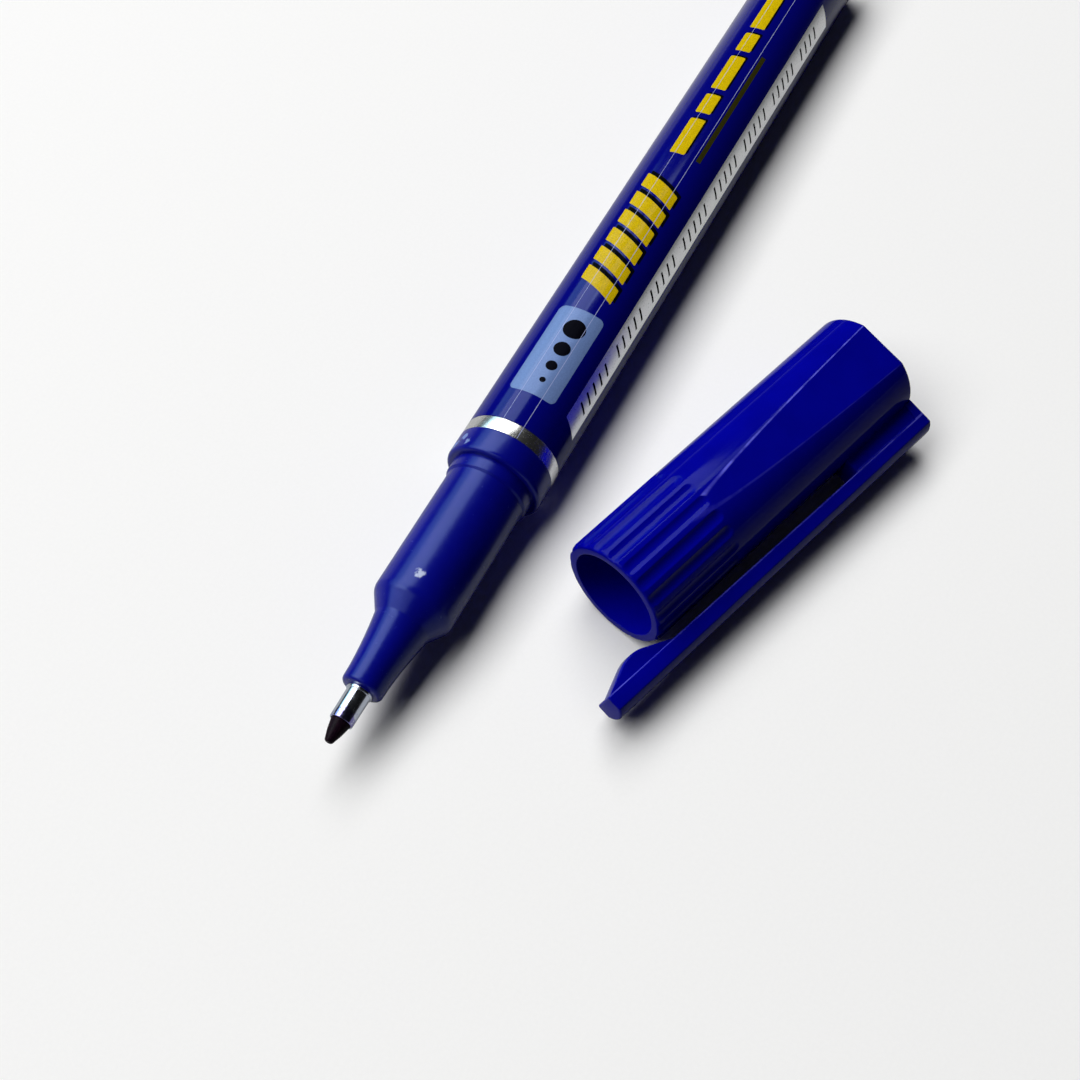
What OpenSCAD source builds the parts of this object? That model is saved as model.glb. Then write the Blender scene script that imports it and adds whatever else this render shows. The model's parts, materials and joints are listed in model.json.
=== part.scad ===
// Felt tip marker lying on a surface, with its clip cap taken off and laid beside it.
// Millimetres. +X runs along the pen from nib to tail, +Z is up, and the surface is at Z = 0.
// The origin is on that surface, under the middle of the space that pen and cap take up.

/* [Barrel] */
// Outside diameter of the barrel at its bare ends
barrel_d = 11.2; // [10.8:0.1:12]
// Length of the barrel, from its front lip to the tail plug
barrel_l = 92.5; // [80:0.5:110]
// Diameter of the bore that holds the ink reservoir
barrel_bore_d = 9.2; // [8.9:0.1:9.3]
// Rounding of the front lip
lip_round = 0.7; // [0.3:0.1:0.8]

/* [Foil band and film] */
// Distance from the front lip to the foil band
band_setback = 3; // [1.5:0.1:6]
// Width of the foil band
band_w = 1.7; // [1:0.1:4]
// Thickness of the film and of the foil band
film_t = 0.1; // [0.06:0.01:0.2]
// Bare length of barrel behind the film
film_tail_gap = 4; // [2:0.5:10]

/* [Section] */
// Diameter of the straight part that the cap seals on
section_d = 9; // [8.4:0.1:9.1]
// Length of the straight part
section_l = 15.4; // [12:0.1:18]
// Diameter of the stop collar in front of the barrel
collar_d = 9.5; // [9.4:0.1:9.9]
// Length of the stop collar
collar_l = 1.7; // [1:0.1:3]
// Length of the cone between nose and straight part
shoulder_l = 2.2; // [1.5:0.1:4]
// Diameter of the nose where it meets the shoulder
nose_base_d = 6.2; // [5.4:0.1:7.5]
// Diameter of the nose at its front end
nose_tip_d = 4.5; // [3.6:0.1:5]
// Length of the nose
nose_l = 8.1; // [6:0.1:11]
// Depth of the hollow in the nose's side
nose_hollow = 0.14; // [0:0.01:0.3]
// Length of the plug end that is pushed into the barrel
spigot_l = 8; // [6:0.5:12]
// Diameter of the air chamber in the section's rear end
chamber_d = 6.6; // [4:0.1:7]

/* [Nib] */
// Diameter of the fibre rod
nib_d = 2.1; // [1.6:0.05:2.15]
// Length of the writing cone that shows
nib_out = 2.4; // [1.5:0.1:3.5]
// Diameter of the worn writing point
nib_point_d = 0.9; // [0.5:0.02:1.2]
// Bulge of the writing cone's side
nib_bulge = 0.1; // [0:0.01:0.14]
// Length of rod that is pushed into the reservoir
nib_bite = 6; // [3:0.5:12]

/* [Nib sleeve] */
// Length of the metal sleeve that shows
sleeve_out = 3.8; // [2.5:0.1:6]
// Wall of the sleeve at its front edge
sleeve_wall = 0.16; // [0.12:0.02:0.3]
// Diameter of the sleeve where it enters the nose
sleeve_base_d = 2.6; // [2.55:0.05:2.75]
// Diameter of the stop ring on the sleeve
sleeve_ring_d = 2.9; // [2.8:0.05:3.2]
// Width of the stop ring
sleeve_ring_w = 0.4; // [0.2:0.05:0.8]
// Length of sleeve inside the nose
sleeve_seat_l = 5.5; // [3:0.5:7]

/* [Ink reservoir] */
// Diameter of the fibre wad
wad_d = 8.3; // [7:0.1:8.5]
// Thickness of the film round the wad
wad_film_t = 0.15; // [0.1:0.01:0.25]

/* [Tail plug] */
// Length of the plug that shows behind the barrel
plug_out = 2; // [1:0.1:6]
// Length of the plug inside the barrel
plug_in = 6.5; // [4:0.5:10]
// Rounding of the tail's edge
plug_round = 0.6; // [0.2:0.1:1]

/* [Cap shell] */
// Outside diameter of the cap
cap_d = 12.8; // [12.4:0.1:13.6]
// Bore of the cap
cap_bore_d = 10.4; // [10.2:0.1:10.8]
// Length of the cap
cap_l = 40.5; // [39:0.5:50]
// Thickness of the closed end
cap_end_t = 1.6; // [1:0.1:3]
// Rounding of the mouth's outer edge
mouth_round = 0.5; // [0.2:0.05:0.6]
// Rounding of the closed end's edge
cap_end_round = 0.35; // [0.2:0.05:0.6]

/* [Cap flutes and flats] */
// Number of grip flutes round the mouth
flute_count = 20; // [9:1:22]
// Width of a flute
flute_w = 1.5; // [0.8:0.1:1.8]
// Depth of a flute
flute_depth = 0.3; // [0.15:0.05:0.4]
// Length of a flute, which is open at the mouth
flute_l = 12.2; // [6:0.1:16]
// Angle between the clip and a flute
flute_turn = 12; // [0:1:18]
// Depth of a side flat at the closed end
flat_depth = 0.7; // [0.3:0.05:0.8]
// Distance from the mouth to where a side flat begins
flat_start = 9.5; // [6:0.5:20]
// Angle between the clip and a side flat
flat_angle = 93; // [80:1:120]

/* [Clip] */
// Width of the clip
clip_w = 4.1; // [3.4:0.1:5]
// Gap between the clip's free end and the cap's surface
clip_gap = 0.7; // [0.4:0.05:1.2]
// Gap between clip and cap at the closed end
clip_root_gap = 1.65; // [1.2:0.05:2.4]
// Thickness of the clip at the closed end
clip_root_t = 1.95; // [1.6:0.05:3.2]
// Thickness of the clip at its free end
clip_tip_t = 2.45; // [1.8:0.05:3]
// Crown of the clip's outer face
clip_crown = 0.75; // [0.3:0.05:0.9]
// Length of clip that stands past the cap's mouth
clip_overhang = 8.6; // [8:0.1:14]
// Length of the rib that joins clip and cap
rib_l = 11; // [6:0.5:16]
// Width of the rib
rib_w = 3; // [2:0.1:3.3]
// Thickness of the wall that ends the rib, level with the closed end
rib_end_t = 1; // [0.6:0.1:3]
// Slope of the grip bead on the clip's inner face
bead_slope = 24; // [16:1:30]
// Length of the grip bead
bead_l = 9; // [6:0.1:10]
// Rounding of the grip bead's crest
bead_round = 4; // [1:0.5:6]
// Width of the grip bead
bead_w = 2.2; // [1.2:0.1:3]
// Distance from the clip's free end to the grip bead
bead_setback = 0.7; // [0.3:0.1:2]

/* [Inner cap] */
// Distance from the cap's mouth to the inner cap
liner_setback = 11; // [8:0.5:14]
// Step of the cap's bore where the inner cap's seat begins
seat_step = 0.2; // [0.16:0.01:0.24]
// Thickness of the inner cap's end
liner_end_t = 1; // [0.6:0.1:2]

/* [Layout] */
// Angle between the pen and the cap on the surface
cap_turn = 17.3; // [0:0.1:40]
// Distance along the pen from the nib's point to the middle of the cap's mouth
cap_along = 26.9; // [0:0.1:80]
// Distance from the pen's axis to the middle of the cap's mouth
cap_aside = 17.6; // [16:0.1:60]
// Angle between straight up and the clip, as the cap lies
clip_lean = 108; // [90:1:118]

/* [Clearances] */
// Radial clearance of pieces that are pushed together
push_clear = 0.05; // [0.02:0.01:0.1]
// Clearance round the film and the foil band
film_clear = 0.02; // [0.01:0.01:0.05]

/* [Hidden] */

// Segments of a round edge, and of a revolved piece
edge_steps = 6;
round_fn = 96;
// Extra length of a cutting shape past the face that it cuts
over = 1;
// Share of the nose's front face that its edge rounding takes
nose_round_share = 0.75;

// Radii
barrel_r = barrel_d / 2;
bore_r = barrel_bore_d / 2;
recess_r = barrel_r - film_t - 2 * film_clear;
spigot_r = bore_r - push_clear;
section_r = section_d / 2;
collar_r = collar_d / 2;
nib_r = nib_d / 2;
channel_r = nib_r + push_clear;
sleeve_seat_r = sleeve_base_d / 2 + push_clear;
cap_r = cap_d / 2;
cap_bore_r = cap_bore_d / 2;
liner_seat_r = cap_bore_r - seat_step;
liner_r = liner_seat_r - push_clear;
liner_bore_r = section_r + push_clear;
liner_lead = (liner_r - liner_bore_r) / 2;

// Places along the pen, measured from the nib's point
nose_x = nib_out + sleeve_out;
shoulder_x = nose_x + nose_l;
straight_x = shoulder_x + shoulder_l;
collar_x = straight_x + section_l;
lip_x = collar_x + collar_l;
band_x = lip_x + band_setback;
film_x = band_x + band_w;
spigot_end_x = lip_x + spigot_l;
barrel_end_x = lip_x + barrel_l;
film_end_x = barrel_end_x - film_tail_gap;
wad_x = spigot_end_x + 2 * push_clear;
wad_end_x = barrel_end_x - plug_in - 2 * push_clear;
pen_l = barrel_end_x + plug_out;

// The clip's faces, as distances from the cap's axis
clip_tip_in_r = cap_r + clip_gap;
clip_root_in_r = cap_r + clip_root_gap;
clip_root_r = clip_root_in_r + clip_root_t;
clip_tip_r = clip_tip_in_r + clip_tip_t;
clip_l = cap_l + clip_overhang;
clip_edge_r = clip_root_r - clip_crown;
rib_foot_r = cap_bore_r + cap_end_round;
clip_incline = atan2(clip_root_in_r - clip_tip_in_r, clip_l);
crown_r = (pow(clip_w / 2, 2) + pow(clip_crown, 2)) / (2 * clip_crown);
crown_half = asin(clip_w / 2 / crown_r);

// The cap lies with its clip to one side, no lower than where the clip's corner meets the surface
clip_down = acos(-cap_r / norm([clip_edge_r, clip_w / 2])) - atan2(clip_w / 2, clip_edge_r);
clip_roll = min(clip_lean, clip_down);
clip_reach = clip_roll - 90 < crown_half ? (clip_root_r - crown_r) * sin(clip_roll) + crown_r
                                         : clip_edge_r * sin(clip_roll) - clip_w / 2 * cos(clip_roll);

// Middle of the space that pen and cap take up
far_y = cap_aside + cap_l * sin(cap_turn) + clip_reach * cos(cap_turn);
middle = [pen_l / 2, (barrel_r - far_y) / 2];

plastic_blue = [0.02, 0.03, 0.6];
cap_blue = [0.02, 0.02, 0.68];

// Points of an arc about a centre, from one angle to another
function arc(centre, r, from, to) =
    [for (i = [0 : edge_steps])
        let (a = from + (to - from) * i / edge_steps) centre + r * [cos(a), sin(a)]];

// Points of a side that runs from one place to another and is hollowed by a depth in its middle
function hollow_side(from, to, depth) =
    [for (i = [0 : edge_steps])
        let (f = i / edge_steps) from + (to - from) * f - [0, 4 * depth * f * (1 - f)]];

// Revolves an outline of [place along X, radius] points about the X axis
module turned(outline) {
    rotate([0, 90, 0])
        rotate_extrude($fn = round_fn)
            polygon([for (p = outline) [p[1], p[0]]]);
}

// Puts a piece that is drawn along the pen's axis, with the nib's point at zero, in its place
module on_pen() {
    translate([-middle[0], -middle[1], barrel_r])
        children();
}

// Puts a piece that is drawn along the cap's axis, with the mouth at zero and the clip upward, in its place
module on_cap() {
    translate([cap_along - middle[0], -cap_aside - middle[1], cap_r])
        rotate([0, 0, -cap_turn])
            rotate([clip_roll, 0, 0])
                children();
}

// Moulded tube with a rounded front lip and a shallow recess for the foil band and the film
module barrel() {
    color(plastic_blue)
        on_pen()
            turned(concat(
                [[lip_x, bore_r]],
                arc([lip_x + lip_round, barrel_r - lip_round], lip_round, 180, 90),
                [[band_x, barrel_r], [band_x, recess_r], [film_end_x, recess_r], [film_end_x, barrel_r],
                 [barrel_end_x, barrel_r], [barrel_end_x, bore_r]]));
}

// Plug that closes the barrel behind the reservoir
module tail_plug() {
    color(plastic_blue)
        on_pen()
            turned(concat(
                [[barrel_end_x - plug_in, 0], [barrel_end_x - plug_in, spigot_r], [barrel_end_x, spigot_r],
                 [barrel_end_x, barrel_r]],
                arc([pen_l - plug_round, barrel_r - plug_round], plug_round, 90, 0),
                [[pen_l, 0]]));
}

// Thin tube in the barrel's recess
module skin(from, to) {
    turned([[from + film_clear, recess_r + film_clear], [from + film_clear, recess_r + film_clear + film_t],
            [to - film_clear, recess_r + film_clear + film_t], [to - film_clear, recess_r + film_clear]]);
}

module foil_band() {
    color("silver")
        on_pen()
            skin(band_x, film_x);
}

module wrap_film() {
    color("mediumblue")
        on_pen()
            skin(film_x, film_end_x);
}

// Nib holder: hollowed nose, shoulder, straight part for the cap's seal, stop collar and a plug end
module section() {
    nose_r = nose_tip_d / 2;
    base_r = nose_base_d / 2;
    nose_round = (nose_r - sleeve_seat_r) * nose_round_share;
    step = collar_r - section_r;
    chamber_x = straight_x + section_r;
    color(plastic_blue)
        on_pen()
            turned(concat(
                [[nose_x, sleeve_seat_r]],
                arc([nose_x + nose_round, nose_r - nose_round], nose_round, 180, 90),
                hollow_side([nose_x + nose_round, nose_r], [shoulder_x, base_r], nose_hollow),
                [[straight_x, section_r], [collar_x, section_r], [collar_x + step, collar_r],
                 [lip_x, collar_r], [lip_x, spigot_r], [spigot_end_x, spigot_r],
                 [spigot_end_x, chamber_d / 2], [chamber_x, chamber_d / 2],
                 [chamber_x - chamber_d / 2 + channel_r, channel_r],
                 [nose_x + sleeve_seat_l + push_clear, channel_r],
                 [nose_x + sleeve_seat_l + push_clear, sleeve_seat_r]]));
}

// Metal tube that carries the nib, with a stop ring against the nose
module nib_sleeve() {
    front_r = channel_r + sleeve_wall;
    base_r = sleeve_base_d / 2;
    ring_r = sleeve_ring_d / 2;
    ring_x = nose_x - sleeve_ring_w;
    ring_round = (ring_r - base_r) / 2;
    color("gainsboro")
        on_pen()
            turned(concat(
                [[nib_out, channel_r], [nib_out, front_r], [ring_x, base_r], [ring_x, ring_r - ring_round]],
                arc([ring_x + ring_round, ring_r - ring_round], ring_round, 180, 90),
                [[nose_x, ring_r], [nose_x, base_r], [nose_x + sleeve_seat_l, base_r],
                 [nose_x + sleeve_seat_l, channel_r]]));
}

// Fibre rod with a rounded writing point, whose rear end is pushed into the wad
module nib() {
    point_r = nib_point_d / 2;
    point_end = 110;
    rear_x = wad_x + nib_bite;
    color("midnightblue")
        on_pen()
            turned(concat(
                arc([point_r, 0], point_r, 180, point_end),
                hollow_side(point_r * [1 + cos(point_end), sin(point_end)], [nib_out, nib_r], -nib_bulge),
                [[rear_x - nib_r, nib_r], [rear_x, nib_r / 2], [rear_x, 0]]));
}

// Fibre wad with a socket for the nib
module ink_reservoir() {
    wad_r = wad_d / 2;
    socket_end_x = wad_x + nib_bite + push_clear;
    color("darkslateblue")
        on_pen()
            turned([[wad_x, channel_r], [wad_x, wad_r], [wad_end_x, wad_r], [wad_end_x, 0],
                    [socket_end_x, 0], [socket_end_x, nib_r / 2 + push_clear],
                    [socket_end_x - nib_r, channel_r]]);
}

// Film tube that holds the wad's fibres together
module reservoir_film() {
    in_r = wad_d / 2 + film_clear;
    color("lavender")
        on_pen()
            turned([[wad_x, in_r], [wad_x, in_r + wad_film_t],
                    [wad_end_x, in_r + wad_film_t], [wad_end_x, in_r]]);
}

// Groove along the cap at the clip's angle, open at the mouth and round at its other end
module flute() {
    cut_r = (pow(flute_w / 2, 2) + pow(flute_depth, 2)) / (2 * flute_depth);
    last = flute_l - flute_w / 2;
    translate([-over, 0, cap_r - flute_depth + cut_r]) {
        rotate([0, 90, 0])
            cylinder(r = cut_r, h = last + over, $fn = 32);
        translate([last + over, 0, 0])
            sphere(cut_r, $fn = 32);
    }
}

// Sloping cut that leaves a flat on the cap, deepest at the closed end
module side_flat() {
    run = cap_l - flat_start;
    translate([flat_start, 0, cap_r])
        rotate([0, atan2(flat_depth, run), 0])
            translate([0, -cap_r, 0])
                cube([run + cap_r, cap_d, cap_r]);
}

// Hollow shell of the cap before its flutes and flats are cut
module cap_shell() {
    mouth_bevel = mouth_round / 2;
    turned(concat(
        [[0, cap_bore_r + mouth_bevel]],
        arc([mouth_round, cap_r - mouth_round], mouth_round, 180, 90),
        arc([cap_l - cap_end_round, cap_r - cap_end_round], cap_end_round, 90, 0),
        [[cap_l, 0], [cap_l - cap_end_t, 0], [cap_l - cap_end_t, liner_seat_r],
         [liner_setback, liner_seat_r], [liner_setback, cap_bore_r], [mouth_bevel, cap_bore_r]]));
}

// Distance of the clip's inner face from the cap's axis at a place along it
function clip_in_r(x) = clip_tip_in_r + (x + clip_overhang) * tan(clip_incline);

// Extrudes a side view of the clip to a width across it
module across_clip(width, outline) {
    translate([0, width / 2, 0])
        rotate([90, 0, 0])
            linear_extrude(width)
                polygon(outline);
}

// Tapered bar with a crowned outer face, and the end wall that joins it to the closed end
module clip_bar() {
    taper = atan2(clip_root_r - clip_tip_r, clip_l);
    wall_x = cap_l - rib_end_t;
    top_r = clip_root_r + over;
    intersection() {
        across_clip(clip_w, [
            [-clip_overhang, clip_tip_in_r], [wall_x, clip_in_r(wall_x)], [wall_x, rib_foot_r],
            [cap_l, rib_foot_r], [cap_l, top_r], [-clip_overhang, top_r]]);
        translate([cap_l, 0, clip_root_r])
            rotate([0, -90 - taper, 0])
                translate([-crown_r, 0, -over])
                    cylinder(r = crown_r, h = clip_l + 2 * over, $fn = round_fn);
    }
}

// Rib in front of the end wall, between the shell and the middle of the clip's inner face
module clip_rib() {
    rib_x = cap_l - rib_l;
    sunk = clip_root_t / 4;
    across_clip(rib_w, [
        [rib_x, clip_in_r(rib_x) + sunk], [rib_x, rib_foot_r], [cap_l - rib_end_t / 2, rib_foot_r],
        [cap_l - rib_end_t / 2, clip_root_in_r]]);
}

// Wedge with a rounded crest on the clip's inner face, near its free end
module grip_bead() {
    half = bead_l / 2;
    crest = [0, bead_round / cos(bead_slope) - half * tan(bead_slope)];
    bead_x = -clip_overhang + bead_setback + half;
    foot = half + bead_setback / 2;
    sunk = (foot - half) * tan(bead_slope);
    translate([bead_x, 0, clip_in_r(bead_x)])
        rotate([0, -clip_incline, 0])
            across_clip(bead_w, concat(
                [[-foot, sunk]],
                arc(crest, bead_round, 270 - bead_slope, 270 + bead_slope),
                [[foot, sunk]]));
}

// Cap with flutes and side flats, moulded in one with its clip
module cap() {
    color(cap_blue)
        on_cap() {
            difference() {
                cap_shell();
                for (i = [0 : flute_count - 1])
                    rotate([flute_turn + 360 / flute_count * i, 0, 0])
                        flute();
                for (side = [-1, 1])
                    rotate([side * flat_angle, 0, 0])
                        side_flat();
            }
            clip_bar();
            clip_rib();
            grip_bead();
        }
}

// Cup pressed to the bottom of the cap, which seals on the section's straight part
module inner_cap() {
    end_x = cap_l - cap_end_t;
    color("lightsteelblue")
        on_cap()
            turned([[liner_setback, liner_bore_r + liner_lead], [liner_setback, liner_r], [end_x, liner_r],
                    [end_x, 0], [end_x - liner_end_t, 0], [end_x - liner_end_t, liner_bore_r],
                    [liner_setback + liner_lead, liner_bore_r]]);
}

barrel();
tail_plug();
foil_band();
wrap_film();
section();
nib_sleeve();
nib();
ink_reservoir();
reservoir_film();
cap();
inner_cap();
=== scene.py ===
"""Looks of a felt tip marker and its clip cap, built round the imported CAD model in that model's own frame.

Sizes in the classes are in millimetres, as in the CAD source, and become metres where a mesh is made.
"""

from __future__ import annotations

import json
import logging
import math
from dataclasses import dataclass, field
from enum import Enum
from typing import Callable, Iterable, Protocol, Sequence

import bpy
from mathutils import Matrix, Vector

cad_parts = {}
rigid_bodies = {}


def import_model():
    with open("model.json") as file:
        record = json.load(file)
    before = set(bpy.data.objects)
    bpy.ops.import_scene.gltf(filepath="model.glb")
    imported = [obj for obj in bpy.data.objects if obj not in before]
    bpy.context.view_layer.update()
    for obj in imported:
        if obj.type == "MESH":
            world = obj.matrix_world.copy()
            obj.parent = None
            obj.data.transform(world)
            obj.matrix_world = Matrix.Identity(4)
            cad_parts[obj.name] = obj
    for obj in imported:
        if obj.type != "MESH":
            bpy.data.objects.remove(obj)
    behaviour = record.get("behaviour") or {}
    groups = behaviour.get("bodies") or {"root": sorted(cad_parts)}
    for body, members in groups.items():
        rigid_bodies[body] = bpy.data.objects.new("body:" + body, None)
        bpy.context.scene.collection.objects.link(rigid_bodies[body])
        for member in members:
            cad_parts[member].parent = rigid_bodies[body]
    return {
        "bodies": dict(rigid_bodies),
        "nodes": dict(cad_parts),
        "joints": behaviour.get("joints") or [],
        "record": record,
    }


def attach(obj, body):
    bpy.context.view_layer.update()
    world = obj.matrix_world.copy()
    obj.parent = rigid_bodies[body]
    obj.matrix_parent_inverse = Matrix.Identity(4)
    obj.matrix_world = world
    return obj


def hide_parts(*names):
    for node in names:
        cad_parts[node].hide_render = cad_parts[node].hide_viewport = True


LOG = logging.getLogger("marker")
MM = 0.001

Colour = tuple[float, float, float]
Point2 = tuple[float, float]
Point3 = tuple[float, float, float]
Row = tuple[float, float, float]
Socket = bpy.types.NodeSocket


class Body(Enum):
    """The CAD bodies that pieces ride on."""

    PEN = "pen"
    CAP = "cap_unit"


class Slot(Enum):
    """The record's material slots."""

    BARREL = "barrel_plastic"
    FOIL = "foil"
    FILM = "printed_film"
    SECTION = "section_plastic"
    SLEEVE = "sleeve_metal"
    NIB = "nib_fibre"
    WAD = "wad_fibre"
    WAD_FILM = "wad_film"
    CAP = "cap_plastic"
    LINER = "liner_plastic"


# Geometry

# The most of a side that the rounding of a corner may take up
SIDE_SHARE = 0.49
# Angles in degrees beyond which an edge stays sharp, on turned pieces and on the others
TURNED_CREASE = 35.0
CREASE = 50.0


@dataclass(frozen=True)
class Axis:
    """A level line that pieces are built on. Angles about it start at the top and grow to the camera's right.

    Attributes:
        origin: the line's zero, in millimetres in the row frame.
        along: the line's direction, of unit length.
    """

    origin: Point3
    along: Point3

    def point(self, place: float, radius: float, angle: float) -> Vector:
        """Gives a point round the line, in metres.

        Args:
            place: distance along the line from its zero, in millimetres.
            radius: distance from the line, in millimetres.
            angle: angle from the top, in radians.

        Returns:
            The point in the row frame.
        """
        return self.offset(place, radius * math.sin(angle), radius * math.cos(angle))

    def offset(self, place: float, aside: float, above: float) -> Vector:
        """Gives the point at a place along the line, a distance to its right and a distance above it."""
        ahead, top = Vector(self.along), Vector((0.0, 0.0, 1.0))
        return (Vector(self.origin) + ahead * place + ahead.cross(top) * aside + top * above) * MM

    def outward(self, angle: float) -> Vector:
        """Gives the direction out from the line at an angle, of unit length."""
        return (self.point(0.0, 1.0, angle) - self.point(0.0, 0.0, 0.0)) / MM


def rounded(corners: Sequence[Point3], steps: int = 6, closed: bool = False) -> list[Point2]:
    """Rounds the corners of an outline.

    Args:
        corners: places, radii and the rounding of each corner, in millimetres.
        steps: segments of each rounding.
        closed: whether the outline's last corner joins its first.

    Returns:
        The outline's points.
    """
    points: list[Point2] = []
    count = len(corners)
    for i, (x, y, radius) in enumerate(corners):
        here = Vector((x, y))
        if radius <= 0 or (not closed and i in (0, count - 1)):
            points.append((x, y))
            continue
        before = Vector(corners[i - 1][:2]) - here
        after = Vector(corners[(i + 1) % count][:2]) - here
        half = before.angle(after) / 2
        reach = min(radius / math.tan(half), SIDE_SHARE * before.length, SIDE_SHARE * after.length)
        radius = reach * math.tan(half)
        middle = here + (before.normalized() + after.normalized()).normalized() * (radius / math.sin(half))
        first = here + before.normalized() * reach - middle
        turn = first.angle_signed(here + after.normalized() * reach - middle)
        for k in range(steps + 1):
            arm = Matrix.Rotation(-turn * k / steps, 2) @ first
            points.append((middle.x + arm.x, middle.y + arm.y))
    return points


def round_off(radius: float, left: float) -> float:
    """Gives how far a rounded edge has drawn in where a distance is left to its end."""
    return radius - math.sqrt(max(0.0, radius**2 - max(0.0, radius - left) ** 2))


def quarter(radius: float, steps: int, turn: float) -> list[float]:
    """Gives places along a rounding from its end, by equal turns in degrees."""
    return [radius * (1 - math.cos(math.radians(turn * k))) for k in range(steps)]


def smooth_min(a: float, b: float, blend: float) -> float:
    """Gives the lesser of two lengths, with the change from one to the other rounded over a length."""
    share = max(blend - abs(a - b), 0.0) / blend
    return min(a, b) - share * share * blend / 4


@dataclass
class MeshMaker:
    """Collects points and faces, and makes a mesh of them."""

    points: list[Vector] = field(default_factory=list)
    faces: list[tuple[int, ...]] = field(default_factory=list)

    def row(self, points: Iterable[Vector]) -> list[int]:
        """Adds points.

        Args:
            points: the points, in metres.

        Returns:
            The points' numbers.
        """
        first = len(self.points)
        self.points.extend(points)
        return list(range(first, len(self.points)))

    def skin(self, rows: Sequence[Sequence[int]]) -> None:
        """Lays quads between rows of points that each run round.

        Args:
            rows: numbers of the points, row by row.
        """
        for lower, upper in zip(rows, rows[1:]):
            count = len(lower)
            for i in range(count):
                j = (i + 1) % count
                self.faces.append((lower[i], lower[j], upper[j], upper[i]))

    def bar(self, rows: Sequence[Sequence[int]]) -> None:
        """Lays quads between rows of points that each run round, and closes the first row and the last."""
        self.skin(rows)
        self.faces += [tuple(reversed(rows[0])), tuple(rows[-1])]

    def lid(self, row: Sequence[int], centre: Vector, turned: bool = False) -> None:
        """Closes a row that runs round with triangles to its centre.

        Args:
            row: numbers of the row's points.
            centre: the point in its middle, in metres.
            turned: whether the lid faces the other way.
        """
        (hub,) = self.row([centre])
        for i, a in enumerate(row):
            b = row[(i + 1) % len(row)]
            self.faces.append((b, a, hub) if turned else (a, b, hub))

    def mesh(self, name: str, crease: float = CREASE) -> bpy.types.Mesh:
        """Makes a smooth mesh of what has been collected.

        Args:
            name: the mesh's name.
            crease: angle in degrees beyond which an edge stays sharp.

        Returns:
            The mesh.
        """
        made = bpy.data.meshes.new(name)
        made.from_pydata([p[:] for p in self.points], [], self.faces)
        made.validate()
        made.shade_smooth()
        made.set_sharp_from_angle(angle=math.radians(crease))
        return made


def turned_mesh(name: str, axis: Axis, outline: Sequence[Point2], closed: bool,
                segments: int = 192) -> bpy.types.Mesh:
    """Turns an outline about an axis.

    Args:
        name: the mesh's name.
        axis: the line to turn about.
        outline: places along the axis and radii, in millimetres. An open outline starts and ends on the axis.
        closed: whether the outline is the closed section of a tube.
        segments: number of steps round the axis.

    Returns:
        The mesh.
    """
    maker = MeshMaker()
    angles = [math.tau * i / segments for i in range(segments)]
    body = list(outline) if closed else list(outline[1:-1])
    rows = [maker.row(axis.point(s, r, a) for a in angles) for s, r in body]
    maker.skin(rows + rows[:1] if closed else rows)
    if not closed:
        maker.lid(rows[0], axis.point(outline[0][0], 0.0, 0.0), turned=True)
        maker.lid(rows[-1], axis.point(outline[-1][0], 0.0, 0.0))
    return maker.mesh(name, TURNED_CREASE)


# Node trees

# The range that most of a noise's values lie in
MOST = (0.3, 0.7)


class Nodes:
    """A node tree that is laid out from empty."""

    def __init__(self, tree: bpy.types.NodeTree) -> None:
        """Takes a tree and empties it."""
        self.tree = tree
        tree.nodes.clear()

    def node(self, kind: str, **settings: object) -> bpy.types.Node:
        """Adds a node.

        Args:
            kind: the node's type.
            settings: properties to set on it.

        Returns:
            The node.
        """
        made = self.tree.nodes.new(kind)
        for key, value in settings.items():
            setattr(made, key, value)
        return made

    def link(self, source: Socket, target: Socket) -> None:
        """Joins two sockets."""
        self.tree.links.new(source, target)

    def spread(self, value: Socket, low: float, high: float, to_low: float, to_high: float) -> Socket:
        """Maps a value smoothly from one range to another and holds it there.

        Args:
            value: the value.
            low: start of its range.
            high: end of its range.
            to_low: what the start becomes.
            to_high: what the end becomes.

        Returns:
            The mapped value.
        """
        made = self.node("ShaderNodeMapRange", interpolation_type="SMOOTHSTEP")
        for key, number in zip(("From Min", "From Max", "To Min", "To Max"), (low, high, to_low, to_high)):
            made.inputs[key].default_value = number
        self.link(value, made.inputs["Value"])
        return made.outputs["Result"]

    def maths(self, operation: str, first: Socket, second: Socket | float) -> Socket:
        """Adds a sum, product or the like of two values.

        Args:
            operation: the node's operation.
            first: the first value.
            second: the second value, or a number.

        Returns:
            The result.
        """
        made = self.node("ShaderNodeMath", operation=operation)
        self.link(first, made.inputs[0])
        if isinstance(second, (int, float)):
            made.inputs[1].default_value = second
        else:
            self.link(second, made.inputs[1])
        return made.outputs["Value"]


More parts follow.
